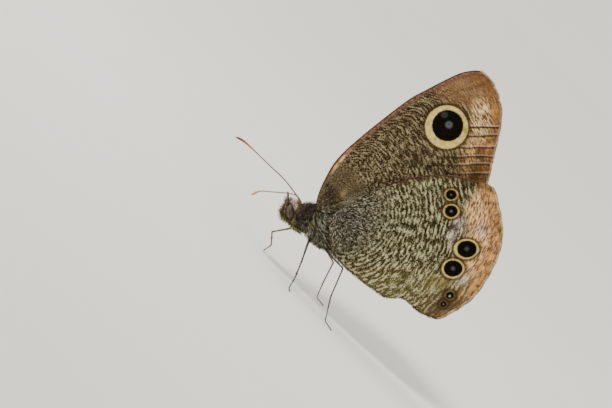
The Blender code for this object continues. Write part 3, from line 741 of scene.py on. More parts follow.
def fore_underside():
    """The forewing's closed face: fine cross lines, one great eyespot and a brown margin."""
    f = Finish("forewing_underside", 0.8, 0.05)
    edge, costa, vein, right, up, slow, grain = marking_inputs(f)
    across, along, radius = wing_waves(f, FORE_STRIA_CENTRE, 0.3, 70)
    lines = cross_lines(f, across + costa.rise(1.9, 0.0) * 1.2, along, 0.38, 7.0)
    near_base = (radius + slow * 2.0).rise(3.8, 1.6)
    outer = (edge + slow * 1.6).rise(4.2, 2.2)
    fine = fine_scales(f, across, along, 9.0)
    broken = f.maths("MAXIMUM", outer, near_base) * 0.85
    lines = lines * (1 - broken) + fine * broken
    apex = f.patch((-2.2, 28.9), (3.4, 2.6), 40, 1.3, 0.6)
    lit = f.patch((1.7, 27.4), (1.3, 2.3), VIEW_ROLL, 1.3, 0.4)
    ground = f.mix(outer, (38, 26, 6), (90, 58, 28))
    ground = f.mix(near_base * 0.8, ground, (36, 25, 15))
    ground = f.mix(apex, ground, (112, 80, 50))
    pale = f.mix(outer, (164, 150, 114), (244, 196, 138))
    pale = f.mix(near_base, pale, (114, 100, 72))
    pale = f.mix(apex, pale, (150, 116, 82))
    pale = f.mix(lit * 0.9, pale, (255, 222, 164))
    f.colour = f.mix(lines * (0.5 + 0.65 * f.noise(f.flat)), ground, pale)
    strew_scales(f, 0.3)
    clouds = f.noise(f.flat, 0.9).rise(0.52, 0.7)
    f.paint(clouds * 0.25, (72, 48, 20))
    dark = f.patch((-0.4, 18.9), (0.8, 1.7), -35, 1.4, 0.4)
    f.paint(dark * 0.38, (40, 26, 6))
    squares = (edge + grain * 0.4).rise(0.8, 1.0) * (edge + slow).rise(2.3, 1.9) * up.rise(7.0, 5.8)
    squares = squares * f.noise(f.point(right * 0.8, up, 4.0), 1.0, 1.0).rise(0.34, 0.46)
    f.paint(squares * 0.75, (56, 38, 12))
    rust = f.mix(f.noise(f.flat, 1.3).rise(0.45, 0.6), (118, 76, 34), (92, 64, 38))
    f.paint((edge + slow).rise(1.8, 0.6) * (0.9 - 0.3 * lines), rust)
    foot = f.patch((5.5, 22.8), (2.8, 1.5), VIEW_ROLL, 1.3, 0.5)
    f.paint(foot * 0.48, (54, 38, 18))
    orange = f.patch((2.7, 29.0), (0.8, 1.1), 40, 1.2, 0.2)
    f.paint(orange * 0.4, (192, 128, 62))
    rough = edge + grain * 0.2
    f.paint(rough.rise(0.48, 0.34) * rough.rise(0.08, 0.2) * 0.4, (88, 58, 62))
    for height, start, strength in FORE_FOLD_SHADING:
        near = f.maths("ABSOLUTE", up - height + slow * 0.5)
        above = f.maths("ABSOLUTE", up - height - 0.2 + slow * 0.5)
        reach = right.rise(start - 0.3, start + 0.5)
        # Painted shade along the fold's crease
        f.paint(near.rise(0.17, 0.05) * reach * (strength * 0.9), (46, 32, 18))
        # Painted highlight along the fold's ridge, just above the crease
        ridge = above.rise(0.1, 0.03) * reach * right.rise(15.5, 17.5)
        f.paint(ridge * (strength * 0.4), (206, 184, 164))
    f.paint(vein * 0.28, (58, 42, 26))
    band = (costa + grain * 0.2 + slow * 0.3).rise(0.75, 0.35) * f.z.rise(10.5, 13.5)
    f.paint(band * 0.75, (84, 56, 44))
    # Painted highlight near the root of the costa: a streaky glint, gold nearer the root and pinkish
    # further out
    shine = f.patch((-6.05, 13.5), (0.9, 2.3), 0, 1.0, 0.3)
    streaky = f.noise(f.point(f.x * 5.0, f.z * 1.4, 2.0)).rise(0.4, 0.58)
    glint = shine * costa.rise(0.62, 0.42) * costa.rise(0.16, 0.34)
    glint_tone = f.mix(f.z.rise(13.4, 14.6), (236, 186, 112), (206, 166, 138))
    f.paint(glint * (streaky * 0.75 + 0.2), glint_tone)
    line = (costa + grain * 0.12).rise(0.2, 0.08) * (1 - glint * 0.5)
    f.paint(line * 0.8, (62, 38, 32))
    rough = costa + grain * 0.1
    red = rough.rise(0.45, 0.3) * rough.rise(0.08, 0.2) * f.z.rise(11.0, 15.0)
    f.paint(red * f.noise(f.flat, 4.0).rise(0.4, 0.65) * 0.6, (158, 116, 92))
    streak = f.patch((-3.1, 10.4), (0.42, 1.6), 12, 1.2, 0.3)
    f.paint(streak * (0.25 + 0.5 * fine), (150, 132, 84))
    beside = f.patch((-2.2, 9.2), (1.5, 3.4), -12, 1.2, 0.5)
    f.paint(beside * 0.75 * (1 - streak * 0.7), f.mix(fine, (28, 22, 16), (140, 134, 112)))
    draw_spots(f, FORE_SPOTS, FORE_DOTS, grain)
    olive = f.patch((1.5, 25.15), (0.3, 0.5), 44, 1.2, 0.5)
    f.paint(olive * 0.75, (140, 124, 40))
    f.paint((edge + grain * 0.1).rise(0.12, 0.04) * 0.6, (168, 140, 100))
    return scaly(f, across, along, lines)


def hind_underside():
    """The hindwing's closed face: pale cross lines, six eyespots and a rusty outer band."""
    f = Finish("hindwing_underside", 0.8, 0.05)
    edge, costa, vein, right, up, slow, grain = marking_inputs(f)
    across, along, radius = wing_waves(f, HIND_STRIA_CENTRE)
    lines = cross_lines(f, across, along, 0.42, 3.0)
    specks = f.noise(f.point(across * 2.8, along * 1.6, 1.0), 1.0, 2.0, 0.6, 0.4) + grain * 0.25
    near_base = radius.rise(6.5, 2.5)
    lines = lines * (1 - near_base) + specks.rise(0.5, 0.62) * near_base
    outer = (edge + slow * 1.4).rise(4.4, 3.0) * up.rise(-9.5, -7.0)
    outer = outer * (right - up * 0.77 + slow).rise(16.5, 17.9)
    lines = lines * (1 - outer * 0.9) + fine_scales(f, across, along, 5.0, 0.25) * outer * 0.9
    ground = f.mix(outer, (36, 28, 6), (98, 66, 36))
    ground = f.mix(near_base, ground, (22, 18, 8))
    ground = f.mix(up.rise(-5.0, -9.0) * (1 - near_base) * 0.65, ground, (84, 76, 36))
    pale = f.mix(outer, (190, 186, 146), (255, 206, 148))
    pale = f.mix(near_base, pale, (158, 154, 136))
    f.colour = f.mix(lines * (0.75 + 0.3 * f.noise(f.flat, 1.1)), ground, pale)
    strew_scales(f, 0.26)
    clouds = f.noise(f.flat, 0.7).rise(0.54, 0.72)
    f.paint(clouds * 0.15 * (1 - outer), (60, 46, 20))
    for centre, half in LILAC_PATCHES:
        lilac = f.patch(centre, (half, half * 1.3), VIEW_ROLL, 1.2, 0.2)
        f.paint(lilac * (0.12 + 0.6 * lines), (214, 198, 192))
    blotches = f.noise(f.point(f.x, f.z, 5.0), 1.1)
    rust = f.mix(blotches.rise(0.4, 0.52), (204, 140, 70), (108, 72, 38))
    f.paint((edge + slow * 0.9 + grain * 0.2).rise(1.6, 0.9) * (0.88 - 0.4 * lines), rust)
    rough = edge + grain * 0.3
    dusk = rough.rise(1.9, 1.5) * rough.rise(0.9, 1.3) * blotches.rise(0.5, 0.4)
    f.paint(dusk * 0.5, (96, 66, 36))
    rough = edge + grain * 0.2
    f.paint(rough.rise(0.4, 0.26) * rough.rise(0.06, 0.16) * 0.4, (96, 66, 60))
    tornus = f.patch((13.0, 9.4), (1.9, 2.4), 0, 1.2, 0.7)
    f.paint(tornus * (0.92 - 0.5 * lines), (80, 66, 46))
    moss = f.patch((10.8, 11.3), (1.7, 1.0), VIEW_ROLL, 1.3, 0.4)
    f.paint(moss * 0.4, (88, 82, 32))
    inner = up.rise(-9.6, -10.8) * edge.rise(2.5, 4.5)
    f.paint(inner * 0.4, (64, 54, 34))
    f.paint(vein * (0.12 + 0.2 * outer), (84, 60, 36))
    top = (costa + grain * 0.2).rise(0.85, 0.3)
    f.paint(top * right.rise(7.0, 11.0) * 0.55, (62, 46, 22))
    seen = right.rise(18.9, 18.3)
    rim = (costa + grain * 0.06).rise(0.2, 0.1) * seen * right.rise(6.0, 10.0)
    f.paint(rim * 0.95, (40, 18, 20))
    glow = (costa + grain * 0.05).rise(0.1, 0.03) * right.rise(9.0, 12.0) * seen
    f.paint(glow * 0.3, (150, 112, 98))
    draw_spots(f, HIND_SPOTS, HIND_DOTS, grain)
    f.paint((edge + grain * 0.08).rise(0.1, 0.03) * 0.7, (214, 192, 140))
    return scaly(f, across, along, lines)


def upperside(name):
    """The hidden upper face of a closed wing: plain brown with a faint darker margin."""
    f = Finish(name, 0.7, 0.25)
    edge = f.attribute("edge")
    grain = f.noise(f.flat, 7.0, 3.0)
    f.colour = f.mix(grain.rise(0.3, 0.7), (84, 62, 42), (112, 86, 60))
    f.paint(f.noise(f.flat, 0.6).rise(0.4, 0.7) * 0.4, (70, 50, 34))
    f.paint(edge.rise(1.4, 0.6) * 0.6, (62, 44, 30))
    f.paint(edge.rise(0.4, 0.15) * 0.8, (170, 144, 106))
    f.paint(f.attribute("vein") * 0.5, (58, 40, 28))
    return f.done(grain, 0.3, 0.05)


def colour_body(f, tint):
    """Colours skin or hair by place: pink-white brow, dark collar, olive beneath, grey wool."""
    patch = f.noise(f.point(f.x, f.y, f.z), 1.6)
    dark = f.mix(patch.rise(0.35, 0.65), (22, 21, 9), (54, 50, 24))
    light = f.mix(patch.rise(0.4, 0.7), (190, 186, 162), (136, 134, 92))
    f.colour = f.mix(tint.rise(0.66, 0.9), dark, light)
    face = f.mix(tint.rise(0.3, 0.7), (56, 44, 24), (166, 146, 100))
    f.paint(f.x.rise(-4.7, -5.3), face)
    collar = f.x.rise(-5.7, -5.2) * f.x.rise(-4.05, -4.55) * f.z.rise(5.3, 5.9)
    f.paint(collar * 0.9, f.mix(tint.rise(0.4, 0.85), (34, 25, 20), (112, 94, 90)))
    moss = f.mix(tint.rise(0.4, 0.8), (48, 42, 14), (160, 152, 80))
    f.paint(f.z.rise(5.4, 4.7) * f.x.rise(-2.2, -3.8) * 0.85, moss)
    brow = f.patch((-6.6, 6.75), (0.95, 0.55), -35, 1.2, 0.8)
    f.paint(brow, f.mix(tint.rise(0.1, 0.6), (134, 106, 104), (252, 234, 226)))
    rings = f.maths("SINE", f.x * (2 * math.pi)).rise(-0.6, 0.9)
    belly = f.mix(tint.rise(0.3, 0.7), (70, 56, 38), (126, 112, 86))
    f.paint(f.x.rise(1.0, 2.5), f.mix(rings * 0.5, belly, (58, 46, 32)))


def skin_finish():
    f = Finish("skin", 0.6, 0.3)
    fuzz = f.noise(f.point(f.x * 3.0, f.y * 9.0, f.z * 9.0))
    colour_body(f, fuzz)
    f.paint(0.75, (18, 15, 9))
    return f.done(fuzz, 0.6, 0.08)


def hair_finish():
    f = Finish("hair", 0.55, 0.35)
    colour_body(f, f.attribute("tint"))
    f.paint(f.attribute("along").rise(0.5, 0.0) * 0.45, (24, 20, 14))
    return f.done()


def tinted(name, roughness, specular, low, high, dark, pale):
    """A finish for tufts: some dark, some pale."""
    f = Finish(name, roughness, specular)
    f.colour = f.mix(f.attribute("tint").rise(low, high), dark, pale)
    return f


def fringe_finish():
    """Scales of the wing's fringe: cream with darker checks, brown at the hindwing's corner."""
    f = tinted("fringe", 0.7, 0.25, 0.3, 0.7, (132, 106, 70), (196, 174, 128))
    f.paint(f.noise(f.flat, 0.9, 1.0).rise(0.48, 0.62) * 0.6, (92, 68, 46))
    f.paint(f.patch((12.6, 8.4), (1.8, 1.8), 0, 1.2, 0.7) * 0.7, (78, 68, 48))
    return f.done()


def wing_hair_finish(name, dark, pale):
    """Loose hairs on the wing's base and inner margin: dark and pale mixed."""
    f = tinted(name, 0.6, 0.15, 0.68, 0.94, dark, pale)
    f.paint(f.z.rise(9.0, 6.5) * f.attribute("tint") * 0.35, (96, 96, 52))
    return f.done()


def eye_finish():
    """Brown faceted eye with faint darker bands."""
    f = Finish("eye", 0.36, 0.35)
    place = f.point(f.x, f.y, f.z)
    facets = f.node("ShaderNodeTexVoronoi", None, {"Vector": place, "Scale": 18.0}, "Distance")
    across, along = turned(f.x, f.z, VIEW_ROLL)
    bands = f.noise(f.point(across * 7.0, f.y * 1.2, along * 1.4))
    f.colour = f.mix(bands.rise(0.38, 0.62), (34, 25, 16), (84, 68, 46))
    return f.done(facets, 0.5, 0.03)


def banded_finish(name, dark, light, bands, club=None, tip=None):
    """A limb with fine rings along it, and a feeler's with the colours of its club and tip."""
    f = Finish(name, 0.5, 0.4)
    along = f.split(f.node("ShaderNodeUVMap", {"uv_map": "UVMap"}))[1]
    ring = f.maths("SINE", along * (2 * math.pi * bands)).rise(-0.2, 0.9)
    speckle = f.noise(f.point(f.x, f.y, f.z), 14.0)
    f.colour = f.mix(ring, light, dark)
    f.paint(speckle.rise(0.45, 0.7) * 0.5, light)
    if club:
        f.paint(along.rise(0.72, 0.84), club)
        f.paint(along.rise(0.87, 0.95) * 0.85, tip)
    return f.done(speckle + ring * 0.4, 0.4, 0.03)


def floor_finish():
    f = Finish("floor", 0.8, 0.2)
    cloud = f.noise(f.point(f.x, f.y, f.z), 0.02)
    f.colour = f.mix(cloud.rise(0.3, 0.7), (250, 250, 243), (253, 253, 247))
    return f.done()


# Wings

def grid_in_outline(outline):
    """A fine flat grid cut to an outline, with its rim drawn onto the outline itself."""
    low = outline.min(0) - WING_CELL
    high = outline.max(0) + WING_CELL
    piece, shares = new_grid(*(int(n) for n in np.ceil((high - low) / WING_CELL)))
    mesh = piece.data
    plan = low + shares * (high - low)
    kept = inside(plan, outline)
    corners = np.empty(len(mesh.loops), int)
    mesh.loops.foreach_get("vertex_index", corners)
    corners = corners.reshape(-1, 4)
    whole = np.zeros(len(plan), bool)
    whole[corners[kept[corners].any(1)].ravel()] = True
    outside = whole & ~kept
    plan[outside] = nearest(plan[outside], np.concatenate([outline, outline[:1]]))[1]
    lay_points(mesh, from_plan(plan, 0.0))
    mesh.polygons.foreach_set("select", np.zeros(len(mesh.polygons), bool))
    mesh.edges.foreach_set("select", np.zeros(len(mesh.edges), bool))
    mesh.vertices.foreach_set("select", ~whole)
    in_edit(
        (bpy.ops.mesh.select_mode, {"type": "VERT"}),
        (bpy.ops.mesh.delete, {"type": "VERT"}),
        SELECT_ALL,
        (bpy.ops.mesh.remove_doubles, {"threshold": 0.02 * MM}),
    )
    return piece


def from_plan(plan, y):
    """Places seen from the side, with their distance from the body's middle plane."""
    return np.stack([plan[:, 0], np.broadcast_to(y, len(plan)), plan[:, 1]], axis=1)


def wing_chart(plan):
    """A flat wing's own shape as its chart."""
    return (plan - CHART_START) / CHART_SIZE


class Wing:
    """The form of a left and a right wing, with the points where its margins start and end."""

    def __init__(self, name, outline, veins, offset, costa, termen):
        self.name = name
        self.offset = offset
        self.costa = costa
        self.termen = termen
        self.full = curve_through(outline, PER_SPAN, closed=True)
        self.outline = self.set_in()
        self.veins = [curve_through(points, PER_VEIN_SPAN) for points in veins.values()]

    def set_in(self):
        """The outline with its outer margin set in by the fringe and lightly scalloped."""
        line = self.full
        first, last = (number * PER_SPAN for number in self.termen)
        at = np.arange(len(line))
        ends = ease((at - first) / TERMEN_FADE) * ease((last - at) / TERMEN_FADE)
        steps = np.linalg.norm(np.diff(line, axis=0, append=line[:1]), axis=1)
        run = np.cumsum(steps) - steps
        wave = np.abs(np.sin(math.pi * run / SCALLOP_LENGTH))
        ahead = unit(np.roll(line, -1, axis=0) - np.roll(line, 1, axis=0))
        inward = np.stack([ahead[:, 1], -ahead[:, 0]], axis=1)
        return line + inward * (ends * (FRINGE_SHOWN + SCALLOP_DEPTH * (1 - wave)))[:, None]

    def margin(self, span):
        """The stretch of the outline from one of its points to another."""
        return self.outline[span[0] * PER_SPAN:span[1] * PER_SPAN + 1]

    def relief(self, plan):
        """Ridges over the veins and shallow pleats between them, and the ridge's own profile."""
        away = np.min([nearest(plan, line)[0] for line in self.veins], axis=0)
        ridge = np.exp(-(away / VEIN_HALF) ** 2)
        pleat = -ease(away / PLEAT_REACH)
        return VEIN_RISE * ridge + PLEAT_DEPTH * pleat, ridge

    def make_membrane(self, side, letter, faces):
        piece = grid_in_outline(self.outline)
        mesh = piece.data
        plan = points_of(mesh)[:, [0, 2]]
        height, ridge = self.relief(plan)
        lay_points(mesh, from_plan(plan, side * (self.offset(*plan.T) + height)))
        attribute(mesh, "vein", ridge)
        attribute(mesh, "edge", nearest(plan, self.margin(self.termen))[0])
        attribute(mesh, "costa", nearest(plan, self.margin(self.costa))[0])
        if side > 0:
            in_edit(SELECT_ALL, (bpy.ops.mesh.flip_normals, {}))
        mesh.materials.clear()
        for material in faces:
            mesh.materials.append(material)
        thick = {"thickness": WING_THICK * MM, "offset": 0.0, "use_rim": True, "material_offset": 1}
        apply_modifier(piece, "SOLIDIFY", **thick)
        bpy.ops.object.shade_smooth()
        make_piece(piece, f"{self.name}_{letter}_membrane", None, "wing", f"{self.name}_{letter}")

    def make_fringe(self, side, name, span, length, count, material, seed, lean=0.0):
        """Two staggered rows of narrow scales along a margin, pointing out from the wing."""
        draw = np.random.default_rng(seed)
        line = evenly(self.margin(span), count)
        ahead = unit(np.gradient(line, axis=0))
        outward = np.stack([-ahead[:, 1], ahead[:, 0]], axis=1)
        spread = draw.normal(0.0, 0.25, count)[:, None]
        aim = unit(outward + ahead * (spread + lean))
        layer = np.where(np.arange(count) % 2 == 0, 0.03, -0.03)
        plan = line - outward * 0.1
        roots = from_plan(plan, side * (self.offset(*plan.T) - PLEAT_DEPTH * 0.6 + layer))
        normal = np.tile((0.0, float(side), 0.0), (count, 1))
        lengths = 0.1 + length * draw.uniform(0.75, 1.15, count)
        make_tufts(
            name, material, "wing", roots, from_plan(aim, 0.0), normal, lengths, 0.085,
            wing_chart(plan), draw, droop=0.0, flat=0.25, sunk=0.0,
        )

    def make_hairs(self, side, letter, root, reach, angles, count, material, seed):
        """Fine hairs lying outwards over the base of a wing, thinning with distance."""
        draw = np.random.default_rng(seed)
        angle = draw.uniform(math.radians(angles[0]), math.radians(angles[1]), count * 3)
        away = reach * draw.random(count * 3) ** 0.8
        plan = np.stack([root[0] + away * np.cos(angle), root[1] + away * np.sin(angle)], axis=1)
        plan = plan[inside(plan, self.full)][:count]
        total = len(plan)
        height = self.relief(plan)[0] + WING_THICK / 2
        roots = from_plan(plan, side * (self.offset(*plan.T) + height))
        ways = unit(plan - np.array(root) + draw.normal(0.0, 0.8, (total, 2)))
        lie = unit(from_plan(ways, side * draw.uniform(0.05, 0.35, total)))
        normal = np.tile((0.0, float(side), 0.0), (total, 1))
        lengths = draw.uniform(0.3, 0.6, total)
        make_tufts(
            f"{self.name}_{letter}_base_hairs", material, "wing", roots, lie, normal, lengths, 0.055,
            wing_chart(plan), draw, droop=0.15,
        )


def make_wings():
    fore = Wing("forewing", FOREWING_OUTLINE, FOREWING_VEINS, fore_offset, FORE_COSTA, FORE_TERMEN)
    hind = Wing("hindwing", HINDWING_OUTLINE, HINDWING_VEINS, hind_offset, HIND_COSTA, HIND_TERMEN)
    fore_faces = (fore_underside(), upperside("forewing_upperside"))
    hind_faces = (hind_underside(), upperside("hindwing_upperside"))
    fringe = fringe_finish()
    loose = wing_hair_finish("hindwing_hair", (24, 19, 11), (152, 150, 134))
    inner = wing_hair_finish("inner_margin_hair", (58, 50, 32), (128, 118, 86))
    dusky = wing_hair_finish("forewing_hair", (24, 19, 11), (104, 88, 62))
    for side, letter in SIDES:
        fore.make_membrane(side, letter, fore_faces)
        hind.make_membrane(side, letter, hind_faces)
        fore.make_fringe(side, f"forewing_{letter}_fringe", FORE_TERMEN, 0.15, 420, fringe, 11)
        hind.make_fringe(side, f"hindwing_{letter}_fringe", HIND_TERMEN, 0.17, 620, fringe, 12)
        hind.make_fringe(side, f"hindwing_{letter}_inner_hairs", HIND_INNER, 0.3, 420, inner, 13, -0.9)
        hind.make_hairs(side, letter, (-2.4, 7.3), 3.4, (-38, 85), 760, loose, 14)
        fore.make_hairs(side, letter, (-4.2, 8.2), 2.6, (25, 115), 520, dusky, 15)
    shift = Matrix.Translation(Vector(FAR_WINGS_SHIFT) * MM)
    for piece in bpy.data.objects:
        if piece.name.startswith(("forewing_r_", "hindwing_r_")):
            piece.data.transform(shift)


# Body

def add_lump(centre, half, tilt):
    """A ball stretched to its half sizes, tilted in degrees about Y and set in its place."""
    clear_choice()
    bpy.ops.mesh.primitive_uv_sphere_add(segments=48, ring_count=32, radius=1)
    lump = bpy.context.object
    turn = Matrix.Rotation(math.radians(tilt), 4, "Y")
    size = Matrix.Diagonal((half[0] * MM, half[1] * MM, half[2] * MM, 1.0))
    lump.data.transform(Matrix.Translation(Vector(centre) * MM + SHIFT) @ turn @ size)
    return lump


# Lumps of the body skin: centre, half sizes, and tilt in degrees about Y
BODY_LUMPS = [
    ((-5.95, 0.0, 5.95), (0.74, 0.86, 0.9), 0.0),
    ((-5.0, 0.0, 6.2), (0.75, 0.75, 0.8), 0.0),
    ((-4.7, 0.0, 5.75), (0.8, 0.62, 0.5), 0.0),
    ((-4.55, 0.0, 7.0), (0.72, 0.75, 0.75), -30.0),
    ((-3.9, 0.0, 6.55), (0.85, 1.1, 1.2), 0.0),
    ((-2.1, 0.0, 6.8), (2.3, 1.42, 1.55), 0.0),
    ((-3.2, -0.85, 7.75), (1.15, 0.6, 0.95), 20.0),
    ((-3.2, 0.85, 7.75), (1.15, 0.6, 0.95), 20.0),
    ((0.6, 0.0, 6.8), (1.6, 0.85, 0.95), -9.0),
    ((5.2, 0.0, 7.45), (4.1, 0.88, 0.92), -8.9),
]
SKIN_VOXEL = 0.08

# The abdomen's rings, one a millimetre: how far they stand out, and how far all of it is drawn in
RING_RISE = 0.06
RING_SUNK = 0.05


def make_skin(material):
    """Head, neck, thorax and ringed abdomen as one smooth skin."""
    lumps = [add_lump(*lump) for lump in BODY_LUMPS]
    clear_choice()
    for lump in lumps:
        lump.select_set(True)
    skin = lumps[0]
    bpy.context.view_layer.objects.active = skin
    bpy.ops.object.join()
    apply_modifier(skin, "REMESH", mode="VOXEL", voxel_size=SKIN_VOXEL * MM)
    apply_modifier(skin, "SMOOTH", factor=0.6, iterations=14)
    places = points_of(skin.data)
    x = places[:, 0]
    axis_z = 6.8 + (x - 1.0) * 0.156
    groove = ease(x - 1.2) * (RING_RISE * np.abs(np.sin(math.pi * x)) ** 0.5 - RING_SUNK)
    from_axis = np.stack([np.zeros(len(x)), places[:, 1], places[:, 2] - axis_z], axis=1)
    lay_points(skin.data, places + unit(from_axis) * groove[:, None])
    bpy.ops.object.shade_smooth()
    return make_piece(skin, "body_skin", material, "hair", "head", "thorax", "abdomen")


def body_chart(places):
    """The body's own length and girth as its chart."""
    axis_z = 6.3 + 0.1 * (places[:, 0] + 6.0)
    turn = np.arctan2(places[:, 1], places[:, 2] - axis_z) / (2 * math.pi) + 0.5
    return np.stack([(places[:, 0] + 7.5) / 19.0, turn], axis=1)


# The eyes, and the hairless ellipse round them as it is seen from the side
EYE_HALF = (0.47, 0.42, 0.76)
EYE_TILT = -44.0
EYE_CLEARING = (0.64, 0.76)
BETWEEN_EYES = 0.35


def away_from_eyes(places):
    """Distance from the nearer eye's middle, seen from the side, as a share of the clearing."""
    gap = (places[:, [0, 2]] - (EYE_CENTRE[0], EYE_CENTRE[2])) / EYE_CLEARING
    return np.hypot(gap[:, 0], gap[:, 1]) + 2.0 * (np.abs(places[:, 1]) < BETWEEN_EYES)


# Coats of the body: name, first and last place along X, lowest and highest Z, count, the lie,
# how far the hairs lift, their shortest and longest, width, spread of direction, and droop
COATS = [
    ("head_hair", (-7.0, -5.0), (5.0, 7.2), 2300, (0.1, 0.0, 0.2), 1.5, (0.3, 0.62), 0.055, 0.8, 0.12),
    ("brow_tufts", (-7.0, -5.6), (6.2, 7.3), 760, (-0.8, 0.0, 0.3), 1.3, (0.45, 0.85), 0.075, 0.6, 0.1),
    ("beard", (-6.9, -4.0), (4.6, 5.75), 1700, (0.3, 0.0, -1.0), 1.0, (0.5, 1.0), 0.06, 0.5, 0.1),
    ("long_bristles", (-6.8, -4.8), (4.6, 5.7), 300, (0.0, 0.0, -1.0), 2.2, (0.7, 1.15), 0.085, 0.6, 0.05),
    ("face_bristles", (-7.2, -6.1), (5.2, 7.0), 170, (-0.2, 0.0, -0.5), 2.6, (0.5, 0.95), 0.06, 0.7, 0.05),
    ("collar_hair", (-5.7, -4.1), (5.0, 8.2), 2000, (0.5, 0.0, 0.2), 1.6, (0.45, 0.95), 0.075, 0.7, 0.12),
    ("thorax_wool", (-4.6, 1.6), (5.0, 8.8), 5200, (1.0, 0.0, -0.2), 0.6, (0.5, 1.05), 0.06, 0.34, 0.1),
    ("belly_wool", (-4.6, 1.8), (4.9, 6.2), 2000, (0.5, 0.0, -0.7), 0.9, (0.6, 1.2), 0.07, 0.5, 0.2),
    ("abdomen_hair", (1.2, 9.6), (5.5, 9.6), 3600, (1.0, 0.0, 0.0), 0.25, (0.3, 0.55), 0.055, 0.3, 0.3),
]
COAT_FADE = 0.25
FIRST_COAT_SEED = 20


def make_coat(skin, spec, seed, material):
    name, along_x, along_z, count, way, lift, lengths, width, spread, droop = spec
    draw = np.random.default_rng(seed)

    def between(values, low, high):
        return ease((values - low) / COAT_FADE + 0.5) * ease((high - values) / COAT_FADE + 0.5)

    def weight(places):
        share = between(places[:, 0], *along_x) * between(places[:, 2], *along_z)
        return share * (away_from_eyes(places) > 1.0) + 1e-9

    roots, normal = scatter(skin.data, count, weight, draw)
    lie = np.array(way) + draw.normal(0.0, spread, (count, 3))
    lie = lie - normal * (lie * normal).sum(1)[:, None]
    lie = unit(unit(lie) + normal * lift * draw.uniform(0.6, 1.4, count)[:, None])
    long = draw.uniform(*lengths, count) * (0.4 + 0.6 * ease((away_from_eyes(roots) - 1.0) / 0.9))
    make_tufts(name, material, "hair", roots, lie, normal, long, width, body_chart(roots), draw, droop)


def make_eye(side, letter, material):
    eye = add_lump((EYE_CENTRE[0], EYE_CENTRE[1] * side, EYE_CENTRE[2]), EYE_HALF, EYE_TILT)
    bpy.ops.object.shade_smooth()
    make_piece(eye, f"eye_{letter}_globe", material, "eye", f"eye_{letter}")


# Limbs

def make_limb(node, line, radii, material, slot_name):
    """A limb's shaft. Gives back its line and radii, for the scales on it."""
    make_piece(rod(line, radii), f"{node}_shaft", material, slot_name, node)
    return line, radii


def make_feeler(node, points, table, count, material, slot_name, side=1):
    line = evenly(curve_through([(x, y * side, z) for x, y, z in points], PER_SPAN), count)
    return make_limb(node, line, profile(table, count), material, slot_name)


def make_leg(node, material):
    line, radii = jointed(LEGS[node], 220)
    line[:, 2] = np.maximum(line[:, 2], radii + FOOT_GAP)
    return make_limb(node, line, radii, material, "leg")


def limb_scales(name, limbs, material, slot_name, seed, per_limb, length, width, lift, last=1.0):
    """Short scales or bristles that lie along limbs towards their tips."""
    draw = np.random.default_rng(seed)
    rows = []
    for k, (line, radii) in enumerate(limbs):
        across, upward = sides_of(line)
        at = draw.integers(1, int(last * (len(line) - 2)), per_limb)
        turn = draw.uniform(0, 2 * math.pi, per_limb)
        normal = across[at] * np.cos(turn)[:, None] + upward[at] * np.sin(turn)[:, None]
        roots = line[at] + normal * radii[at][:, None]
        ahead = unit(line[np.minimum(at + 1, len(line) - 1)] - line[at - 1])
        lie = unit(ahead + normal * lift + draw.normal(0, 0.12, (per_limb, 3)))
        chart = np.stack([(k + turn / (2 * math.pi)) / len(limbs), at / len(line)], axis=1)
        above = roots[:, 2] + lie[:, 2] * length > SCALE_GAP
        rows.append([table[above] for table in (roots, lie, normal, chart)])
    roots, lie, normal, chart = (np.concatenate(tables) for tables in zip(*rows))
    lengths = length * draw.uniform(0.7, 1.3, len(roots))
    make_tufts(name, material, slot_name, roots, lie, normal, lengths, width, chart, draw, 0.05, sunk=0.01)


# Spurs and claws: place along the leg, length, and how far the two of a pair stand apart. Near
# the floor they start above a lowest place and point down no more than a little.
SPURS = (0.68, 0.42, 0.5)
CLAWS = (0.985, 0.2, 0.42)
CLAW_START = 0.06
NEAR_FLOOR = 0.3


def spurs_and_claws(name, limbs, material):
    """A pair of spurs at each shin's end and a pair of claws at each foot."""
    rows = []
    for line, radii in limbs:
        across, upward = sides_of(line)
        for share, long, splay in (SPURS, CLAWS):
            at = int(share * (len(line) - 1))
            ahead = line[at] - line[at - 2]
            ahead = ahead / np.linalg.norm(ahead)
            for turn in (-1, 1):
                root = line[at] + across[at] * radii[at] * 0.6 * turn
                rows.append((root, ahead + across[at] * splay * turn, upward[at], long))
    roots, lie, normal, lengths = (np.array(column) for column in zip(*rows))
    lie = unit(lie)
    roots[:, 2] = np.maximum(roots[:, 2], CLAW_START)
    lie[:, 2] = np.maximum(lie[:, 2], np.where(roots[:, 2] < NEAR_FLOOR, -0.1, -1.0))
    chart = np.stack([np.linspace(0.05, 0.95, len(roots)), np.full(len(roots), 0.97)], axis=1)
    draw = np.random.default_rng(61)
    make_tufts(name, material, "leg", roots, lie, normal, lengths, 0.06, chart, draw, 0.0, 0.5)


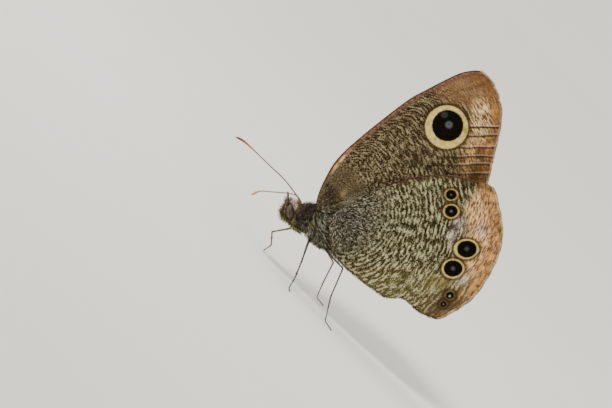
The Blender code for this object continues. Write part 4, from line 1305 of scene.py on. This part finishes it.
def make_eyes_and_limbs(hair):
    eye = eye_finish()
    feeler = banded_finish("feeler", (48, 38, 26), (116, 96, 72), 42, (164, 94, 46), (70, 44, 24))
    # Painted light: the far feeler gets lighter colours than the near one, as the light washes it out
    lit_far_feeler = banded_finish(
        "lit_far_feeler", (84, 66, 46), (150, 126, 98), 42, (200, 134, 86), (184, 128, 84)
    )
    leg = banded_finish("leg", (20, 15, 8), (56, 45, 28), 9)
    # Painted light: the far legs get a lighter copy of the legs' colours, as the light washes them out
    lit_far_leg = banded_finish("lit_far_leg", (76, 60, 32), (122, 100, 60), 9)
    palp = banded_finish("palp", (32, 24, 17), (72, 58, 44), 5)
    palps = []
    legs = []
    for side, letter in SIDES:
        make_eye(side, letter, eye)
        palps.append(make_feeler(f"palp_{letter}", PALP, PALP_PROFILE, 60, palp, "feeler", side))
        legs.append(make_feeler(f"foreleg_{letter}", FORELEG, FORELEG_PROFILE, 60, leg, "leg", side))
    make_feeler("antenna_l", ANTENNA_LEFT, ANTENNA_PROFILE, 260, feeler, "feeler")
    make_feeler("antenna_r", ANTENNA_RIGHT, ANTENNA_PROFILE, 260, lit_far_feeler, "feeler")
    near = [make_leg(node, leg) for node in ("midleg_l", "hindleg_l")]
    far = [make_leg(node, lit_far_leg) for node in ("midleg_r", "hindleg_r")]
    scale = tinted("leg_scale", 0.6, 0.3, 0.5, 0.9, (26, 20, 12), (92, 78, 54)).done()
    # Painted light: a lighter copy of the leg scales' colours for the far legs
    lit_far_scale = tinted("lit_far_leg_scale", 0.6, 0.3, 0.5, 0.9, (80, 66, 38), (136, 116, 76)).done()
    bristle = tinted("palp_bristle", 0.55, 0.3, 0.4, 0.8, (42, 32, 26), (196, 172, 160)).done()
    limb_scales("leg_scales", legs + near, scale, "leg", 51, 800, 0.1, 0.03, 0.25)
    limb_scales("far_leg_scales", far, lit_far_scale, "leg", 54, 800, 0.1, 0.03, 0.25)
    limb_scales("foreleg_brush", legs, hair, "leg", 52, 320, 0.45, 0.045, 0.8)
    limb_scales("palp_bristles", palps, bristle, "feeler", 53, 420, 0.5, 0.05, 1.3, 0.72)
    spurs_and_claws("near_spurs_and_claws", near, leg)
    spurs_and_claws("far_spurs_and_claws", far, lit_far_leg)


# Picture

def make_stage():
    clear_choice()
    bpy.ops.mesh.primitive_circle_add(vertices=96, radius=8.0, fill_type="NGON", location=(0, 0, 0))
    floor = bpy.context.object
    floor.name = "floor"
    floor.data.materials.append(floor_finish())


def make_camera():
    """Sets the camera at the photo's angle, turned with the animal."""
    azimuth, elevation = math.radians(VIEW_AZIMUTH), math.radians(VIEW_ELEVATION)
    level = Vector((math.cos(azimuth), math.sin(azimuth), 0.0))
    back = Vector((
        math.sin(azimuth) * math.cos(elevation),
        -math.cos(azimuth) * math.cos(elevation),
        math.sin(elevation),
    ))
    right, up = turned(level, back.cross(level), VIEW_ROLL)
    eye = bpy.data.cameras.new("camera")
    eye.sensor_width = SENSOR
    eye.lens = SENSOR * VIEW_DISTANCE / (PICTURE_WIDTH / PIXELS_PER_MM)
    eye.clip_start = 0.01
    eye.clip_end = 50.0
    held = bpy.data.objects.new("camera", eye)
    place = Vector(VIEW_TARGET) * MM + SHIFT + back * VIEW_DISTANCE * MM
    held.matrix_world = Matrix.Translation(place) @ Matrix((right, up, back)).transposed().to_4x4()
    bpy.context.scene.collection.objects.link(held)
    bpy.context.scene.camera = held


def add_light(name, kind, energy, away, **settings):
    """A lamp that stands away from the animal's middle and aims at it."""
    lamp = bpy.data.lights.new(name, kind)
    lamp.energy = energy
    for key, value in settings.items():
        setattr(lamp, key, value)
    held = bpy.data.objects.new(name, lamp)
    held.location = Vector((0, 0, 0.015)) + Vector(away)
    held.rotation_euler = (-Vector(away)).to_track_quat("-Z", "Y").to_euler()
    bpy.context.scene.collection.objects.link(held)


def make_light():
    sky = bpy.data.worlds.new("studio")
    sky.use_nodes = True
    shine = sky.node_tree.nodes["Background"].inputs
    shine["Color"].default_value = (1.0, 0.985, 0.95, 1.0)
    shine["Strength"].default_value = 0.75
    bpy.context.scene.world = sky
    add_light("key", "SUN", 2.4, (-0.5, -0.7, 0.9), angle=math.radians(16), color=(1.0, 0.96, 0.88))
    add_light("rim", "AREA", 0.25, (-0.16, 0.04, 0.14), size=0.12, color=(1.0, 0.97, 0.9))


def main():
    make_stage()
    make_camera()
    make_light()
    make_wings()
    skin = make_skin(skin_finish())
    hair = hair_finish()
    for k, spec in enumerate(COATS):
        make_coat(skin, spec, FIRST_COAT_SEED + k, hair)
    make_eyes_and_limbs(hair)


main()
